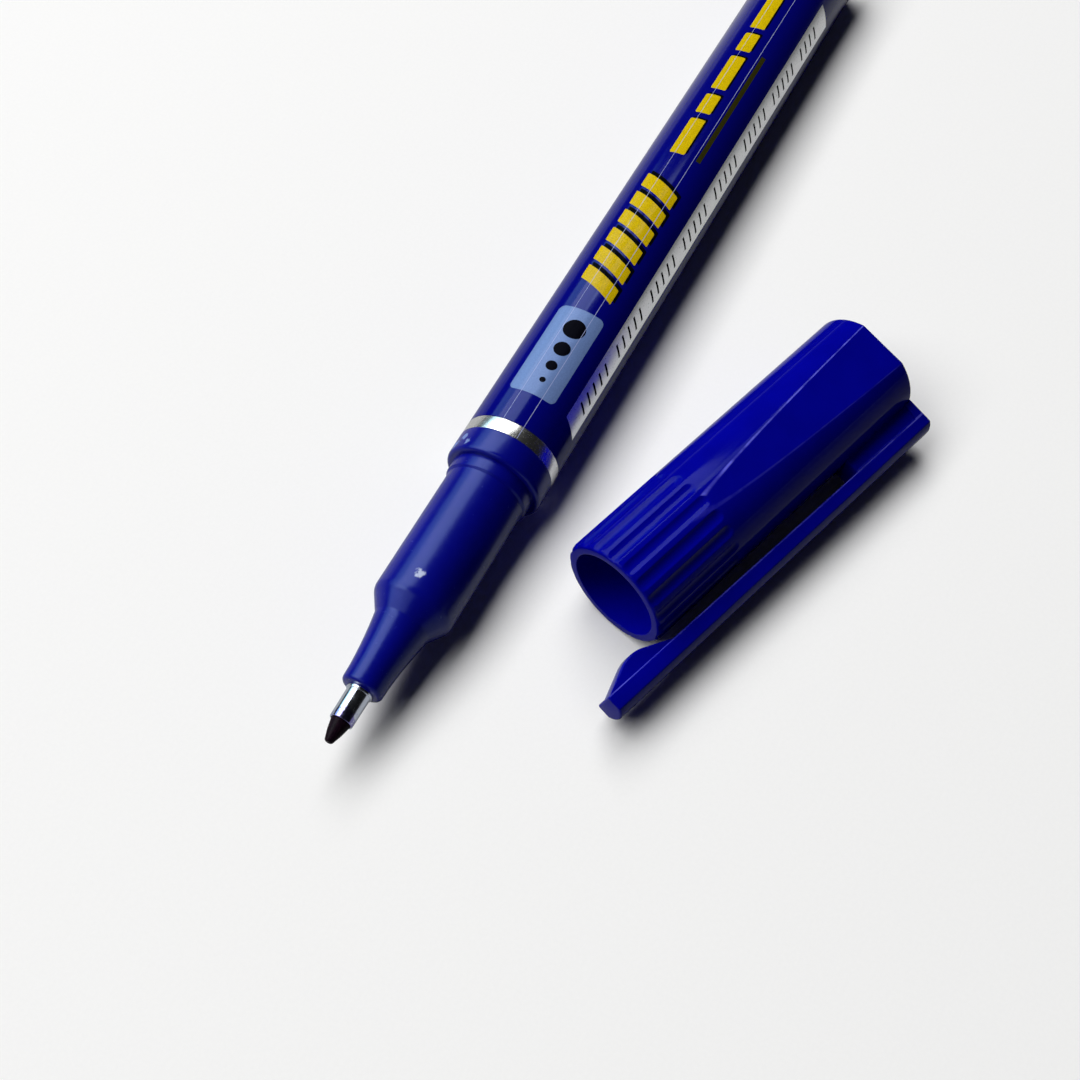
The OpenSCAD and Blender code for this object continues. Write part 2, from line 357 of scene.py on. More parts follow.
class Shader(Nodes):
    """A material's node tree round one Principled shader."""

    def __init__(self, name: str) -> None:
        """Starts an empty material.

        Args:
            name: the material's name.
        """
        self.material = bpy.data.materials.new(name)
        self.material.use_nodes = True
        super().__init__(self.material.node_tree)
        self.surface = self.node("ShaderNodeBsdfPrincipled")
        output = self.node("ShaderNodeOutputMaterial")
        self.link(self.surface.outputs["BSDF"], output.inputs["Surface"])
        self.place = self.node("ShaderNodeTexCoord").outputs["Object"]

    def put(self, **values: object) -> None:
        """Sets constant values on the surface's own sockets, with underscores for spaces."""
        for key, value in values.items():
            self.surface.inputs[key.replace("_", " ")].default_value = value

    def feed(self, socket: str, source: Socket) -> None:
        """Joins a node's result to a socket of the surface."""
        self.link(source, self.surface.inputs[socket])

    def stretched(self, scale: Point3, turn: float = 0.0) -> Socket:
        """Gives a place for a grain that runs one way.

        Args:
            scale: features to the metre along each axis.
            turn: how far the place is first turned about the upright, in radians.

        Returns:
            The object's own place, turned and scaled.
        """
        place = self.place
        for key, value in (("Rotation", (0.0, 0.0, turn)), ("Scale", scale)):
            mapping = self.node("ShaderNodeMapping")
            mapping.inputs[key].default_value = value
            self.link(place, mapping.inputs["Vector"])
            place = mapping.outputs["Vector"]
        return place

    def noise(self, scale: float, detail: float = 2.0, rough: float = 0.5,
              place: Socket | None = None) -> Socket:
        """Adds a noise and gives its value.

        Args:
            scale: features to the metre.
            detail: octaves.
            rough: share of the fine octaves.
            place: where to read it, or the object's own place.

        Returns:
            The noise's value, about 0.5.
        """
        made = self.node("ShaderNodeTexNoise")
        for key, number in (("Scale", scale), ("Detail", detail), ("Roughness", rough)):
            made.inputs[key].default_value = number
        self.link(place or self.place, made.inputs["Vector"])
        return made.outputs["Fac"]

    def grain(self, scale: Point3, detail: float, rough: float, turn: float = 0.0) -> Socket:
        """Adds a noise that is drawn out by axis, and gives its value."""
        return self.noise(1.0, detail, rough, self.stretched(scale, turn))

    def blend(self, share: Socket, first: Colour | Socket, second: Colour | Socket) -> Socket:
        """Mixes two colours.

        Args:
            share: how much of the second there is.
            first: the first colour.
            second: the second colour.

        Returns:
            The mixed colour.
        """
        made = self.node("ShaderNodeMix", data_type="RGBA")
        self.link(share, made.inputs[0])
        for index, colour in ((6, first), (7, second)):
            if isinstance(colour, tuple):
                made.inputs[index].default_value = (*colour, 1.0)
            else:
                self.link(colour, made.inputs[index])
        return made.outputs[2]

    def mottled(self, value: Socket, low: float, high: float, first: Colour, second: Colour) -> Socket:
        """Goes from one colour to another as a value goes from low to high."""
        return self.blend(self.spread(value, low, high, 0.0, 1.0), first, second)

    def uneven(self, value: Socket, low: float, high: float, least: float, most: float) -> None:
        """Lets the roughness go from one number to another as a value goes from low to high."""
        self.feed("Roughness", self.spread(value, low, high, least, most))

    def vector(self, operation: str, first: Socket, second: Sequence[float]) -> bpy.types.Node:
        """Adds a difference, product or the like of a vector and a constant one.

        Args:
            operation: the node's operation.
            first: the vector.
            second: the constant one.

        Returns:
            The node.
        """
        made = self.node("ShaderNodeVectorMath", operation=operation)
        self.link(first, made.inputs[0])
        made.inputs[1].default_value = second
        return made

    def near(self, centre: Sequence[float], reach: float) -> Socket:
        """Gives 1 at a point, falling to 0 at a distance in metres."""
        gap = self.vector("DISTANCE", self.place, centre)
        return self.spread(gap.outputs["Value"], 0.0, reach, 1.0, 0.0)

    def off(self, value: Socket, mark: float) -> Socket:
        """Gives how far a value is from a mark."""
        return self.maths("ABSOLUTE", self.maths("SUBTRACT", value, mark), 0.0)

    def relief(self, height: Socket, strength: float, depth: float) -> None:
        """Lets a height tilt the surface.

        Args:
            height: the height, from 0 to 1.
            strength: how much of it counts.
            depth: what a height of 1 is, in metres.
        """
        bump = self.node("ShaderNodeBump")
        bump.inputs["Strength"].default_value = strength
        bump.inputs["Distance"].default_value = depth
        self.link(height, bump.inputs["Height"])
        self.feed("Normal", bump.outputs["Normal"])


def tint(colour: Colour, by: float) -> Colour:
    """Gives a colour made lighter or darker by a factor."""
    return tuple(min(1.0, c * by) for c in colour)


# Finishes


class Finish(Protocol):
    """Anything that has a name and makes a material."""

    name: str

    def material(self) -> bpy.types.Material:
        """Makes the material."""


@dataclass(frozen=True)
class Scuff:
    """A rubbed spot on a moulding: its centre in metres, its reach in metres and the colour it shows."""

    centre: Point3
    reach: float
    colour: Colour = (0.52, 0.56, 0.72)


@dataclass(frozen=True)
class PaintedEdgeHighlight:
    """A painted highlight along an edge of a moulding: a pale line that stands in for light the edge catches,
    fading where the edge lies in shade.

    Attributes:
        start: a point, in metres, of the line that the edge follows or that the moulding is round about.
        along: that line's direction, of unit length.
        full: how far from the edge the painted highlight is at full strength, in metres.
        reach: how far from the edge the painted highlight ends, in metres.
        strength: how much of the colour shows at most.
        radius: the edge's distance from the line, in metres.
        face: the outward direction of a flat that the edge borders, if any.
        level: that flat's distance from the start, in metres.
        shade_side: the direction towards the moulding's shaded side, where the painted highlight fades, if any.
        shade_span: where along that direction the fading starts and is full, in metres.
        left: share of the painted highlight that is left on the shaded side.
        gaps: gaps to the metre along the edge.
        colour: the painted highlight's colour.
    """

    start: Point3
    along: Point3
    full: float
    reach: float
    strength: float
    radius: float = 0.0
    face: Point3 | None = None
    level: float = 0.0
    shade_side: Point3 | None = None
    shade_span: Point2 = (-1.2 * MM, 0.4 * MM)
    left: float = 0.1
    gaps: float = 420.0
    colour: Colour = (0.17, 0.17, 0.85)

    def share(self, shader: Shader) -> Socket:
        """Gives how much of the painted highlight a place gets, from 0 to the strength, with gaps along the
        edge.

        Args:
            shader: the material's node tree.

        Returns:
            The share of the painted highlight colour.
        """
        away = shader.vector("SUBTRACT", shader.place, self.start).outputs["Vector"]
        arm = shader.vector("CROSS_PRODUCT", away, self.along).outputs["Vector"]
        gap = shader.off(shader.vector("DISTANCE", arm, (0.0, 0.0, 0.0)).outputs["Value"], self.radius)
        if self.face:
            height = shader.vector("DOT_PRODUCT", away, self.face).outputs["Value"]
            gap = shader.maths("MAXIMUM", gap, shader.off(height, self.level))
        line = shader.spread(gap, self.full, self.reach, self.strength, 0.0)
        # The painted highlight fades on the shaded side.
        if self.shade_side:
            side = shader.vector("DOT_PRODUCT", away, self.shade_side).outputs["Value"]
            line = shader.maths("MULTIPLY", line, shader.spread(side, *self.shade_span, 1.0, self.left))
        broken = shader.spread(shader.noise(self.gaps, 3.0, 0.6), 0.36, 0.6, 0.3, 1.0)
        return shader.maths("MULTIPLY", line, broken)


@dataclass(frozen=True)
class MouldedPlastic:
    """Coloured plastic as it leaves the mould: clouded colour, fine grain, drawn marks and rubbed spots, with
    painted highlights along edges.

    Attributes:
        name: the material's name.
        colour: the plastic's colour.
        roughness: how matt it is.
        grain: how much the grain and the drawn marks tilt the surface.
        turn: how far the moulding lies turned about the upright, in radians.
        gloss: how much it mirrors.
        gloss_tint: the colour of what it mirrors.
        scuffs: rubbed spots.
        edges: painted highlight lines along edges.
        clouds: clouds of the colour to the metre.
        patches: patches of roughness to the metre.
        tears: torn places of a rubbed spot to the metre.
        grains: grains to the metre.
        marks: drawn marks to the metre along each axis.
    """

    name: str
    colour: Colour
    roughness: float
    grain: float = 0.05
    turn: float = 0.0
    gloss: float = 0.42
    gloss_tint: Colour = (0.4, 0.56, 1.0)
    scuffs: tuple[Scuff, ...] = ()
    edges: tuple[PaintedEdgeHighlight, ...] = ()
    clouds: float = 260.0
    patches: float = 1500.0
    tears: float = 2600.0
    grains: float = 7000.0
    marks: Point3 = (400.0, 14000.0, 14000.0)

    def material(self) -> bpy.types.Material:
        """Makes the material.

        Returns:
            The material.
        """
        shader = Shader(self.name)
        shader.put(Specular_IOR_Level=self.gloss, Specular_Tint=(*self.gloss_tint, 1.0))
        cloud = shader.noise(self.clouds, 3.0)
        colour = shader.mottled(cloud, *MOST, tint(self.colour, 0.94), tint(self.colour, 1.05))
        patch = shader.noise(self.patches, 3.0, 0.6)
        roughness = shader.spread(patch, 0.25, 0.75, self.roughness * 0.88, self.roughness * 1.15)
        for scuff in self.scuffs:
            torn = shader.maths("MULTIPLY", shader.noise(self.tears, 4.0, 0.75), 1.9)
            ragged = shader.maths("ADD", shader.near(scuff.centre, scuff.reach), torn)
            share = shader.spread(ragged, 1.5, 1.72, 0.0, 0.9)
            colour = shader.blend(share, colour, scuff.colour)
            roughness = shader.maths("MAXIMUM", roughness, shader.maths("MULTIPLY", share, 0.7))
        # Painted highlights: pale lines laid into the base colour along edges, where a lit edge would catch
        # light.
        for edge in self.edges:
            colour = shader.blend(edge.share(shader), colour, edge.colour)
        shader.feed("Base Color", colour)
        shader.feed("Roughness", roughness)
        drawn = shader.maths("MULTIPLY", shader.grain(self.marks, 2.0, 0.5, self.turn), 0.4)
        shader.relief(shader.maths("ADD", shader.noise(self.grains, 2.0), drawn), self.grain, 0.02 * MM)
        return shader.material


@dataclass(frozen=True)
class Foil:
    """Hot-stamped metal foil, finely creased and dulled in spots."""

    name: str
    colour: Colour
    roughness: float
    spots: float = 2600.0
    creases: Point3 = (900.0, 3800.0, 3800.0)

    def material(self) -> bpy.types.Material:
        """Makes the material.

        Returns:
            The material.
        """
        shader = Shader(self.name)
        shader.put(Metallic=1.0)
        worn = shader.noise(self.spots, 4.0, 0.65)
        shader.feed("Base Color", shader.mottled(worn, 0.35, 0.7, self.colour, tint(self.colour, 0.86)))
        shader.uneven(worn, 0.3, 0.75, self.roughness * 0.9, self.roughness * 1.2)
        shader.relief(shader.grain(self.creases, 3.0, 0.6), 0.02, 0.03 * MM)
        return shader.material


@dataclass(frozen=True)
class GlossFilm:
    """Shrunk printed film: even ink, plain or silvered, under a clear gloss that ripples a little."""

    name: str
    colour: Colour
    roughness: float = 0.12
    gloss: float = 0.28
    metal: float = 0.0
    speckle: float = 0.05
    speckle_scale: float = 5200.0
    ripple: float = 0.035
    ripples: Point3 = (150.0, 900.0, 900.0)

    def material(self) -> bpy.types.Material:
        """Makes the material.

        Returns:
            The material.
        """
        shader = Shader(self.name)
        tone = (1.0, 1.0, 1.0, 1.0) if self.metal else (0.45, 0.6, 1.0, 1.0)
        shader.put(Specular_IOR_Level=self.gloss, Specular_Tint=tone, Metallic=self.metal)
        dots = shader.noise(self.speckle_scale, 4.0, 0.75)
        dark, light = tint(self.colour, 1.0 - self.speckle), tint(self.colour, 1.0 + self.speckle)
        shader.feed("Base Color", shader.mottled(dots, *MOST, dark, light))
        shader.uneven(dots, 0.2, 0.8, self.roughness * 0.85, self.roughness * 1.2)
        shader.relief(shader.grain(self.ripples, 2.0, 0.5), self.ripple, 0.06 * MM)
        return shader.material


@dataclass(frozen=True)
class TurnedMetal:
    """Plated metal with fine lathe lines round it and ink creeping back from its front."""

    name: str
    colour: Colour
    roughness: float
    ink: Colour
    ink_centre: Point3
    ink_reach: float = 2.8 * MM
    smears: float = 2300.0
    patches: float = 3000.0
    lines: Point3 = (16000.0, 220.0, 220.0)

    def material(self) -> bpy.types.Material:
        """Makes the material.

        Returns:
            The material.
        """
        shader = Shader(self.name)
        shader.put(Metallic=1.0)
        front = shader.near(self.ink_centre, self.ink_reach)
        smear = shader.maths("ADD", front, shader.noise(self.smears, 3.0, 0.6))
        share = shader.spread(smear, 0.98, 1.2, 0.0, 0.85)
        shader.feed("Base Color", shader.blend(share, self.colour, self.ink))
        shader.uneven(shader.noise(self.patches, 3.0), *MOST, self.roughness * 0.7, self.roughness * 1.6)
        shader.relief(shader.grain(self.lines, 3.0, 0.7), 0.05, 0.01 * MM)
        return shader.material


@dataclass(frozen=True)
class Fibre:
    """Bonded fibre that runs lengthwise and is soaked with ink."""

    name: str
    colour: Colour
    light: Colour
    roughness: float
    gloss: float = 0.2
    threads: Point3 = (900.0, 9500.0, 9500.0)

    def material(self) -> bpy.types.Material:
        """Makes the material.

        Returns:
            The material.
        """
        shader = Shader(self.name)
        shader.put(Specular_IOR_Level=self.gloss)
        threads = shader.grain(self.threads, 4.0, 0.7)
        shader.feed("Base Color", shader.mottled(threads, 0.35, 0.75, self.colour, self.light))
        shader.uneven(threads, *MOST, self.roughness * 1.1, self.roughness * 0.8)
        shader.relief(threads, 0.35, 0.04 * MM)
        return shader.material


@dataclass(frozen=True)
class Milky:
    """Thin uncoloured plastic that lets some light through."""

    name: str
    colour: Colour
    roughness: float
    clouds: float = 420.0
    patches: float = 1800.0
    grains: float = 6000.0

    def material(self) -> bpy.types.Material:
        """Makes the material.

        Returns:
            The material.
        """
        shader = Shader(self.name)
        shader.put(Subsurface_Weight=0.3, Subsurface_Radius=(0.4 * MM, 0.4 * MM, 0.5 * MM))
        cloud = shader.noise(self.clouds, 3.0)
        shader.feed("Base Color", shader.mottled(cloud, *MOST, tint(self.colour, 0.92), self.colour))
        shader.uneven(shader.noise(self.patches), *MOST, self.roughness * 0.85, self.roughness * 1.15)
        shader.relief(shader.noise(self.grains), 0.04, 0.01 * MM)
        return shader.material


@dataclass(frozen=True)
class Paper:
    """Plain matt paper for the ground, which throws back less light than it shows, most of all to matt pieces.

    Attributes:
        name: the material's name.
        colour: what the camera sees.
        bounce: share of the colour that matt pieces get.
        mirrored: share of the colour that glossy pieces show.
        reach: distance in metres over which glossy pieces show more of it than matt ones get.
        fade: distance in metres from which the camera sees the backdrop's tone instead.
        tooth: the paper's fine lumps to the metre.
    """

    name: str
    colour: Colour
    bounce: float
    mirrored: float
    reach: float
    fade: float
    tooth: float = 2400.0

    def material(self) -> bpy.types.Material:
        """Makes the material.

        Returns:
            The material.
        """
        shader = Shader(self.name)
        shader.put(Roughness=0.9, Specular_IOR_Level=0.1, Emission_Color=(*self.colour, 1.0))
        tooth = shader.noise(self.tooth, 4.0, 0.7)
        paper = shader.mottled(tooth, *MOST, tint(self.colour, 0.985), self.colour)
        far = shader.spread(shader.near((0.0, 0.0, 0.0), 2 * self.fade), 0.5, 0.0, 0.0, 1.0)
        shown = shader.blend(far, paper, (0.0, 0.0, 0.0))
        ray = shader.node("ShaderNodeLightPath").outputs
        glow = shader.maths("MULTIPLY", ray["Is Camera Ray"], far)
        shader.feed("Emission Strength", shader.maths("MULTIPLY", glow, BACKDROP))
        through = shader.maths("MAXIMUM", ray["Is Glossy Ray"], ray["Is Transmission Ray"])
        extra = (self.mirrored - self.bounce) / (1.0 - self.bounce)
        close = shader.spread(shader.near((0.0, 0.0, 0.0), self.reach), 0.0, 0.6, 0.0, extra)
        seen = shader.maths("MAXIMUM", ray["Is Camera Ray"], shader.maths("MULTIPLY", through, close))
        shader.feed("Base Color", shader.blend(seen, tint(self.colour, self.bounce), shown))
        shader.relief(tooth, 0.12, 0.03 * MM)
        return shader.material


def dress(piece: bpy.types.Object, finish: Finish, made: dict[str, bpy.types.Material]) -> None:
    """Gives a piece its finish, and makes the finish's material at its first use.

    Args:
        piece: the object to dress.
        finish: what it is finished in.
        made: materials made so far, by finish name.
    """
    if finish.name not in made:
        made[finish.name] = finish.material()
    piece.data.materials.clear()
    piece.data.materials.append(made[finish.name])


@dataclass
class Bench:
    """Where pieces are put together: the loaded frame and the materials made so far."""

    frame: dict
    materials: dict[str, bpy.types.Material] = field(default_factory=dict)

    def add(self, mesh: bpy.types.Mesh, body: Body, slot: Slot, finish: Finish, *stands_for: str) -> None:
        """Makes a piece of a mesh and sets it on its body.

        Args:
            mesh: the piece's mesh, in the row frame.
            body: the CAD body that it rides on.
            slot: the record's material slot; not used.
            finish: what it is finished in.
            stands_for: CAD nodes that it replaces.
        """
        piece = bpy.data.objects.new(mesh.name, mesh)
        bpy.context.scene.collection.objects.link(piece)
        dress(piece, finish, self.materials)
        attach(piece, body.value)
        if stands_for:
            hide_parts(*stands_for)
        LOG.info("%s: %d faces on %s", piece.name, len(mesh.polygons), body.value)

    def finish_node(self, node: str, finish: Finish) -> None:
        """Dresses a CAD node that stays as it is.

        Args:
            node: the node's name.
            finish: what it is finished in.
        """
        piece = self.frame["nodes"][node]
        dress(piece, finish, self.materials)
        LOG.info("%s: CAD node dressed in %s", node, finish.name)


# Colours and places of this marker

BLUE: Colour = (0.0014, 0.002, 0.19)
CAP_BLUE: Colour = (0.0008, 0.001, 0.245)
FILM_BLUE: Colour = (0.001, 0.0014, 0.152)
LINER_BLUE: Colour = (0.003, 0.003, 0.2)
PAPER_WHITE: Colour = (0.93, 0.93, 0.925)
# How bright the paper's colour is where the camera looks past the paper
BACKDROP = 0.95

PEN_AXIS = Axis((-64.05, 16.636, 5.6), (1.0, 0.0, 0.0))
CAP_AXIS = Axis((-37.15, -0.964, 6.4), (0.954761, -0.297375, 0.0))
CAP_TURN = math.radians(17.3)
CLIP_ANGLE = math.radians(108.0)


# Printed shapes

# The widest step between rows of a printed shape, in millimetres
PRINT_STEP = 0.2


class PrintShape(Protocol):
    """A printed shape, given as rows round the pen: place round it, first and last place along it."""

    def rows(self) -> list[Row]:
        """Gives the rows, in millimetres."""


@dataclass(frozen=True)
class SlantBar:
    """A bar with leaning ends, in millimetres.

    Attributes:
        start: where it starts along the pen, half way between its edges.
        length: its length along the pen.
        low: its lower edge round the pen.
        high: its upper edge round the pen.
        lean: how far it leans along the pen for each millimetre round it.
        corner: the rounding of its corners.
    """

    start: float
    length: float
    low: float
    high: float
    lean: float = 0.0
    corner: float = 0.0

    def rows(self) -> list[Row]:
        """Gives the rows, in millimetres.

        Returns:
            The rows.
        """
        rows = []
        for v in edge_rounded_steps(self.low, self.high, self.corner):
            inset = round_off(self.corner, min(v - self.low, self.high - v))
            shift = self.start + self.lean * (v - (self.low + self.high) / 2)
            rows.append((v, shift + inset, shift + self.length - inset))
        return rows


@dataclass(frozen=True)
class Disc:
    """A round dot: its centre along and round the pen, its radius, and the steps that it is laid in."""

    centre: float
    around: float
    radius: float
    steps: int = 22
    span: float = 88.0

    def rows(self) -> list[Row]:
        """Gives the rows, in millimetres.

        Returns:
            The rows.
        """
        angles = [math.radians(-self.span + 2 * self.span * k / self.steps) for k in range(self.steps + 1)]
        return [(self.around + self.radius * math.sin(a), self.centre - self.radius * math.cos(a),
                 self.centre + self.radius * math.cos(a)) for a in angles]


def edge_rounded_steps(low: float, high: float, corner: float) -> list[float]:
    """Gives places between two edges, close together where a corner rounds.

    Args:
        low: the lower edge, in millimetres.
        high: the upper edge, in millimetres.
        corner: the rounding of the corners, in millimetres.

    Returns:
        The places.
    """
    ends = quarter(corner, 9, 11.25) if corner else [0.0]
    count = max(1, math.ceil((high - low - 2 * corner) / PRINT_STEP))
    middle = [low + corner + (high - low - 2 * corner) * k / count for k in range(1, count)]
    return [low + e for e in ends] + middle + [high - e for e in reversed(ends)]


def print_mesh(name: str, shapes: Iterable[PrintShape], inner: float, outer: float) -> bpy.types.Mesh:
    """Lays printed shapes on the pen as a thin closed layer of ink.

    Args:
        name: the mesh's name.
        shapes: the shapes.
        inner: radius of the layer's underside, in millimetres.
        outer: radius of its top, in millimetres.

    Returns:
        The mesh.
    """
    maker = MeshMaker()
    for shape in shapes:
        rings = []
        for v, first, last in shape.rows():
            angle = v / outer
            corners = ((first, inner), (first, outer), (last, outer), (last, inner))
            rings.append(maker.row(PEN_AXIS.point(s, r, angle) for s, r in corners))
        maker.bar(rings)
    return maker.mesh(name)


# The marker's sub-assemblies


@dataclass
class Barrel:
    """The moulded tube, its tail plug, the foil band and the shrunk film."""

    radius: float = 5.6
    bore: float = 4.6
    lip: float = 33.6
    lip_round: float = 0.7
    bore_round: float = 0.15
    step_round: float = 0.06
    tail_round: float = 0.6
    joint_round: float = 0.08
    band: float = 36.6
    film: float = 38.3
    film_end: float = 122.1
    end: float = 126.1
    tail: float = 128.1
    recess: float = 5.46
    skin_inner: float = 5.48
    skin_outer: float = 5.58
    skin_round: float = 0.035
    gap: float = 0.02
    plug_in: float = 6.5
    plug_radius: float = 4.55
    plug_round: float = 0.3
    scuff_colour: Colour = (0.16, 0.22, 0.45)
    scuffs: tuple[Point3, ...] = ((34.5, -58.0, 1.2), (35.4, -46.0, 0.95), (34.6, -36.0, 0.8))

    def build(self, bench: Bench) -> None:
        """Makes and dresses the pieces.

        Args:
            bench: where pieces are put together.
        """
        worn = [Scuff(tuple(PEN_AXIS.point(s, self.radius, math.radians(a))), r * MM, self.scuff_colour)
                for s, a, r in self.scuffs]
        plastic = MouldedPlastic("barrel_blue", BLUE, 0.22, scuffs=tuple(worn))
        tube = rounded([
            (self.lip, self.bore, self.bore_round), (self.lip, self.radius, self.lip_round),
            (self.band, self.radius, self.step_round), (self.band, self.recess, 0.0),
            (self.film_end, self.recess, 0.0), (self.film_end, self.radius, self.step_round),
            (self.end, self.radius, self.joint_round), (self.end, self.bore, 0.0)], steps=8, closed=True)
        mesh = turned_mesh("barrel_tube", PEN_AXIS, tube, closed=True)
        bench.add(mesh, Body.PEN, Slot.BARREL, plastic, "barrel")
        front = self.end - self.plug_in
        plug = rounded([
            (front, 0.0, 0.0), (front, self.plug_radius, self.plug_round), (self.end, self.plug_radius, 0.0),
            (self.end, self.radius, self.joint_round), (self.tail, self.radius, self.tail_round),
            (self.tail, 0.0, 0.0)], steps=8)
        mesh = turned_mesh("tail_stopper", PEN_AXIS, plug, closed=False)
        bench.add(mesh, Body.PEN, Slot.BARREL, plastic, "tail_plug")
        silver = Foil("foil_silver", (0.93, 0.93, 0.92), 0.24)
        bench.add(self.skin("foil_ring", self.band, self.film), Body.PEN, Slot.FOIL, silver, "foil_band")
        blue = GlossFilm("film_blue", FILM_BLUE)
        bench.add(self.skin("film_skin", self.film, self.film_end), Body.PEN, Slot.FILM, blue, "wrap_film")

    def skin(self, name: str, start: float, end: float) -> bpy.types.Mesh:
        """Makes a thin tube in the barrel's recess.

        Args:
            name: the mesh's name.
            start: where it starts along the pen.
            end: where it ends.

        Returns:
            The mesh.
        """
        first, last = start + self.gap, end - self.gap
        outline = rounded([
            (first, self.skin_inner, 0.0), (first, self.skin_outer, self.skin_round),
            (last, self.skin_outer, self.skin_round), (last, self.skin_inner, 0.0)], steps=4, closed=True)
        return turned_mesh(name, PEN_AXIS, outline, closed=True)


@dataclass
class Label:
    """The film's seam and its printing of plain shapes: a pale panel, yellow bars and silver stripes.

    Radii are those of the layers of ink. Starts, lengths and pitches run along the pen, and edges round it.
    """

    base: float = 5.578
    under: float = 5.584
    ink: float = 5.588
    over: float = 5.591
    panel: SlantBar = SlantBar(42.4, 12.6, -2.7, 2.9, corner=0.7)
    dot_row: float = 0.4
    dot_sizes: tuple[Point2, ...] = ((44.6, 0.35), (46.7, 0.65), (49.2, 0.95), (52.2, 1.3))
    bars: int = 6
    bar_start: float = 58.4
    bar_pitch: float = 3.1
    bar_length: float = 2.15
    bar_edges: Point2 = (-2.55, 2.25)
    bar_lean: float = -0.45
    bar_corner: float = 0.12
    bar_shadow: Point2 = (0.45, 0.35)
    dash_start: float = 81.0
    dash_lengths: tuple[float, ...] = (6.2, 3.4, 6.2, 3.4, 6.2, 3.4)
    dash_gap: float = 1.1
    dash_edges: Point2 = (-1.7, 0.2)
    dash_corner: float = 0.2
    dash_shadow: Point2 = (0.3, 0.25)
    rule: SlantBar = SlantBar(81.0, 19.5, 1.75, 2.35)
    stripe_start: float = 42.2
    stripe_length: float = 71.8
    stripe_edges: tuple[Point2, ...] = ((4.85, 7.55), (-15.2, -12.5))
    stripe_leans: tuple[float, ...] = (-0.35, 0.35)
    ticks_in_all: int = 46
    tick_group: int = 6
    tick_start: float = 45.0
    tick_pitch: float = 1.45
    tick_length: float = 0.34
    tick_edges: tuple[Point2, ...] = ((5.5, 6.9), (-14.55, -13.15))
    seam_start: float = 36.7
    seam_length: float = 85.1
    seam_edges: tuple[Point2, ...] = ((1.45, 1.51), (-0.99, -0.95))

    def build(self, bench: Bench) -> None:
        """Makes and dresses the printing.

        Args:
            bench: where pieces are put together.
        """
        pale = GlossFilm("ink_pale_blue", (0.135, 0.21, 0.43), speckle=0.08)
        yellow = GlossFilm("ink_yellow", (0.56, 0.385, 0.002), gloss=0.1, speckle=0.3, speckle_scale=9000.0)
        silver = GlossFilm("ink_silver", (0.93, 0.94, 0.95), roughness=0.3, metal=1.0)
        black = GlossFilm("ink_black", (0.002, 0.002, 0.004), gloss=0.01, speckle=0.2)
        olive = GlossFilm("ink_olive", (0.03, 0.028, 0.004), gloss=0.1, speckle=0.3, speckle_scale=9000.0)
        # The seam line's pale colour is partly the film edge's own whiteness and partly a painted highlight for
        # the light the edge catches.
        clear = GlossFilm("seam_edge", (0.35, 0.38, 0.62), roughness=0.2)
        low, high, top = (self.base, self.under), (self.under, self.ink), (self.ink, self.over)
        runs: list[tuple[str, list[PrintShape], Point2, Finish]] = [
            ("print_panel", [self.panel], low, pale),
            ("print_shadow", self.slashes(*self.bar_shadow) + self.dashes(*self.dash_shadow), low, black),
            ("print_dots", [Disc(s, self.dot_row, r) for s, r in self.dot_sizes], high, black),
            ("print_yellow", self.slashes(0.0, 0.0) + self.dashes(0.0, 0.0), high, yellow),
            ("print_rule", [self.rule], low, olive),
            ("print_stripe", [SlantBar(self.stripe_start, self.stripe_length, *edges, lean=lean)
                              for edges, lean in zip(self.stripe_edges, self.stripe_leans)], low, silver),
            ("print_ticks", self.ticks(), high, black),
            ("film_seam", [SlantBar(self.seam_start, self.seam_length, *edges) for edges in self.seam_edges],
             top, clear),
        ]
        for name, shapes, layer, finish in runs:
            bench.add(print_mesh(name, shapes, *layer), Body.PEN, Slot.FILM, finish)

    def slashes(self, ahead: float, aside: float) -> list[PrintShape]:
        """Gives the slanting bars.

        Args:
            ahead: how far they are moved along the pen.
            aside: how far they are moved round it.

        Returns:
            The bars.
        """
        low, high = (edge + aside for edge in self.bar_edges)
        return [SlantBar(self.bar_start + self.bar_pitch * k + ahead, self.bar_length, low, high, self.bar_lean,
                         self.bar_corner) for k in range(self.bars)]

    def dashes(self, ahead: float, aside: float) -> list[PrintShape]:
        """Gives the row of dashes behind the bars.

        Args:
            ahead: how far they are moved along the pen.
            aside: how far they are moved round it.

        Returns:
            The dashes.
        """
        low, high = (edge + aside for edge in self.dash_edges)
        lengths = self.dash_lengths
        starts = [self.dash_start + sum(lengths[:k]) + self.dash_gap * k for k in range(len(lengths))]
        return [SlantBar(s + ahead, n, low, high, corner=self.dash_corner) for s, n in zip(starts, lengths)]

    def ticks(self) -> list[PrintShape]:
        """Gives the stripes' slanting ticks, in groups.

        Returns:
            The ticks.
        """
        starts = [self.tick_start + self.tick_pitch * k for k in range(self.ticks_in_all)
                  if (k + 1) % self.tick_group]
        return [SlantBar(start, self.tick_length, *edges, lean=lean) for start in starts
                for edges, lean in zip(self.tick_edges, self.stripe_leans)]


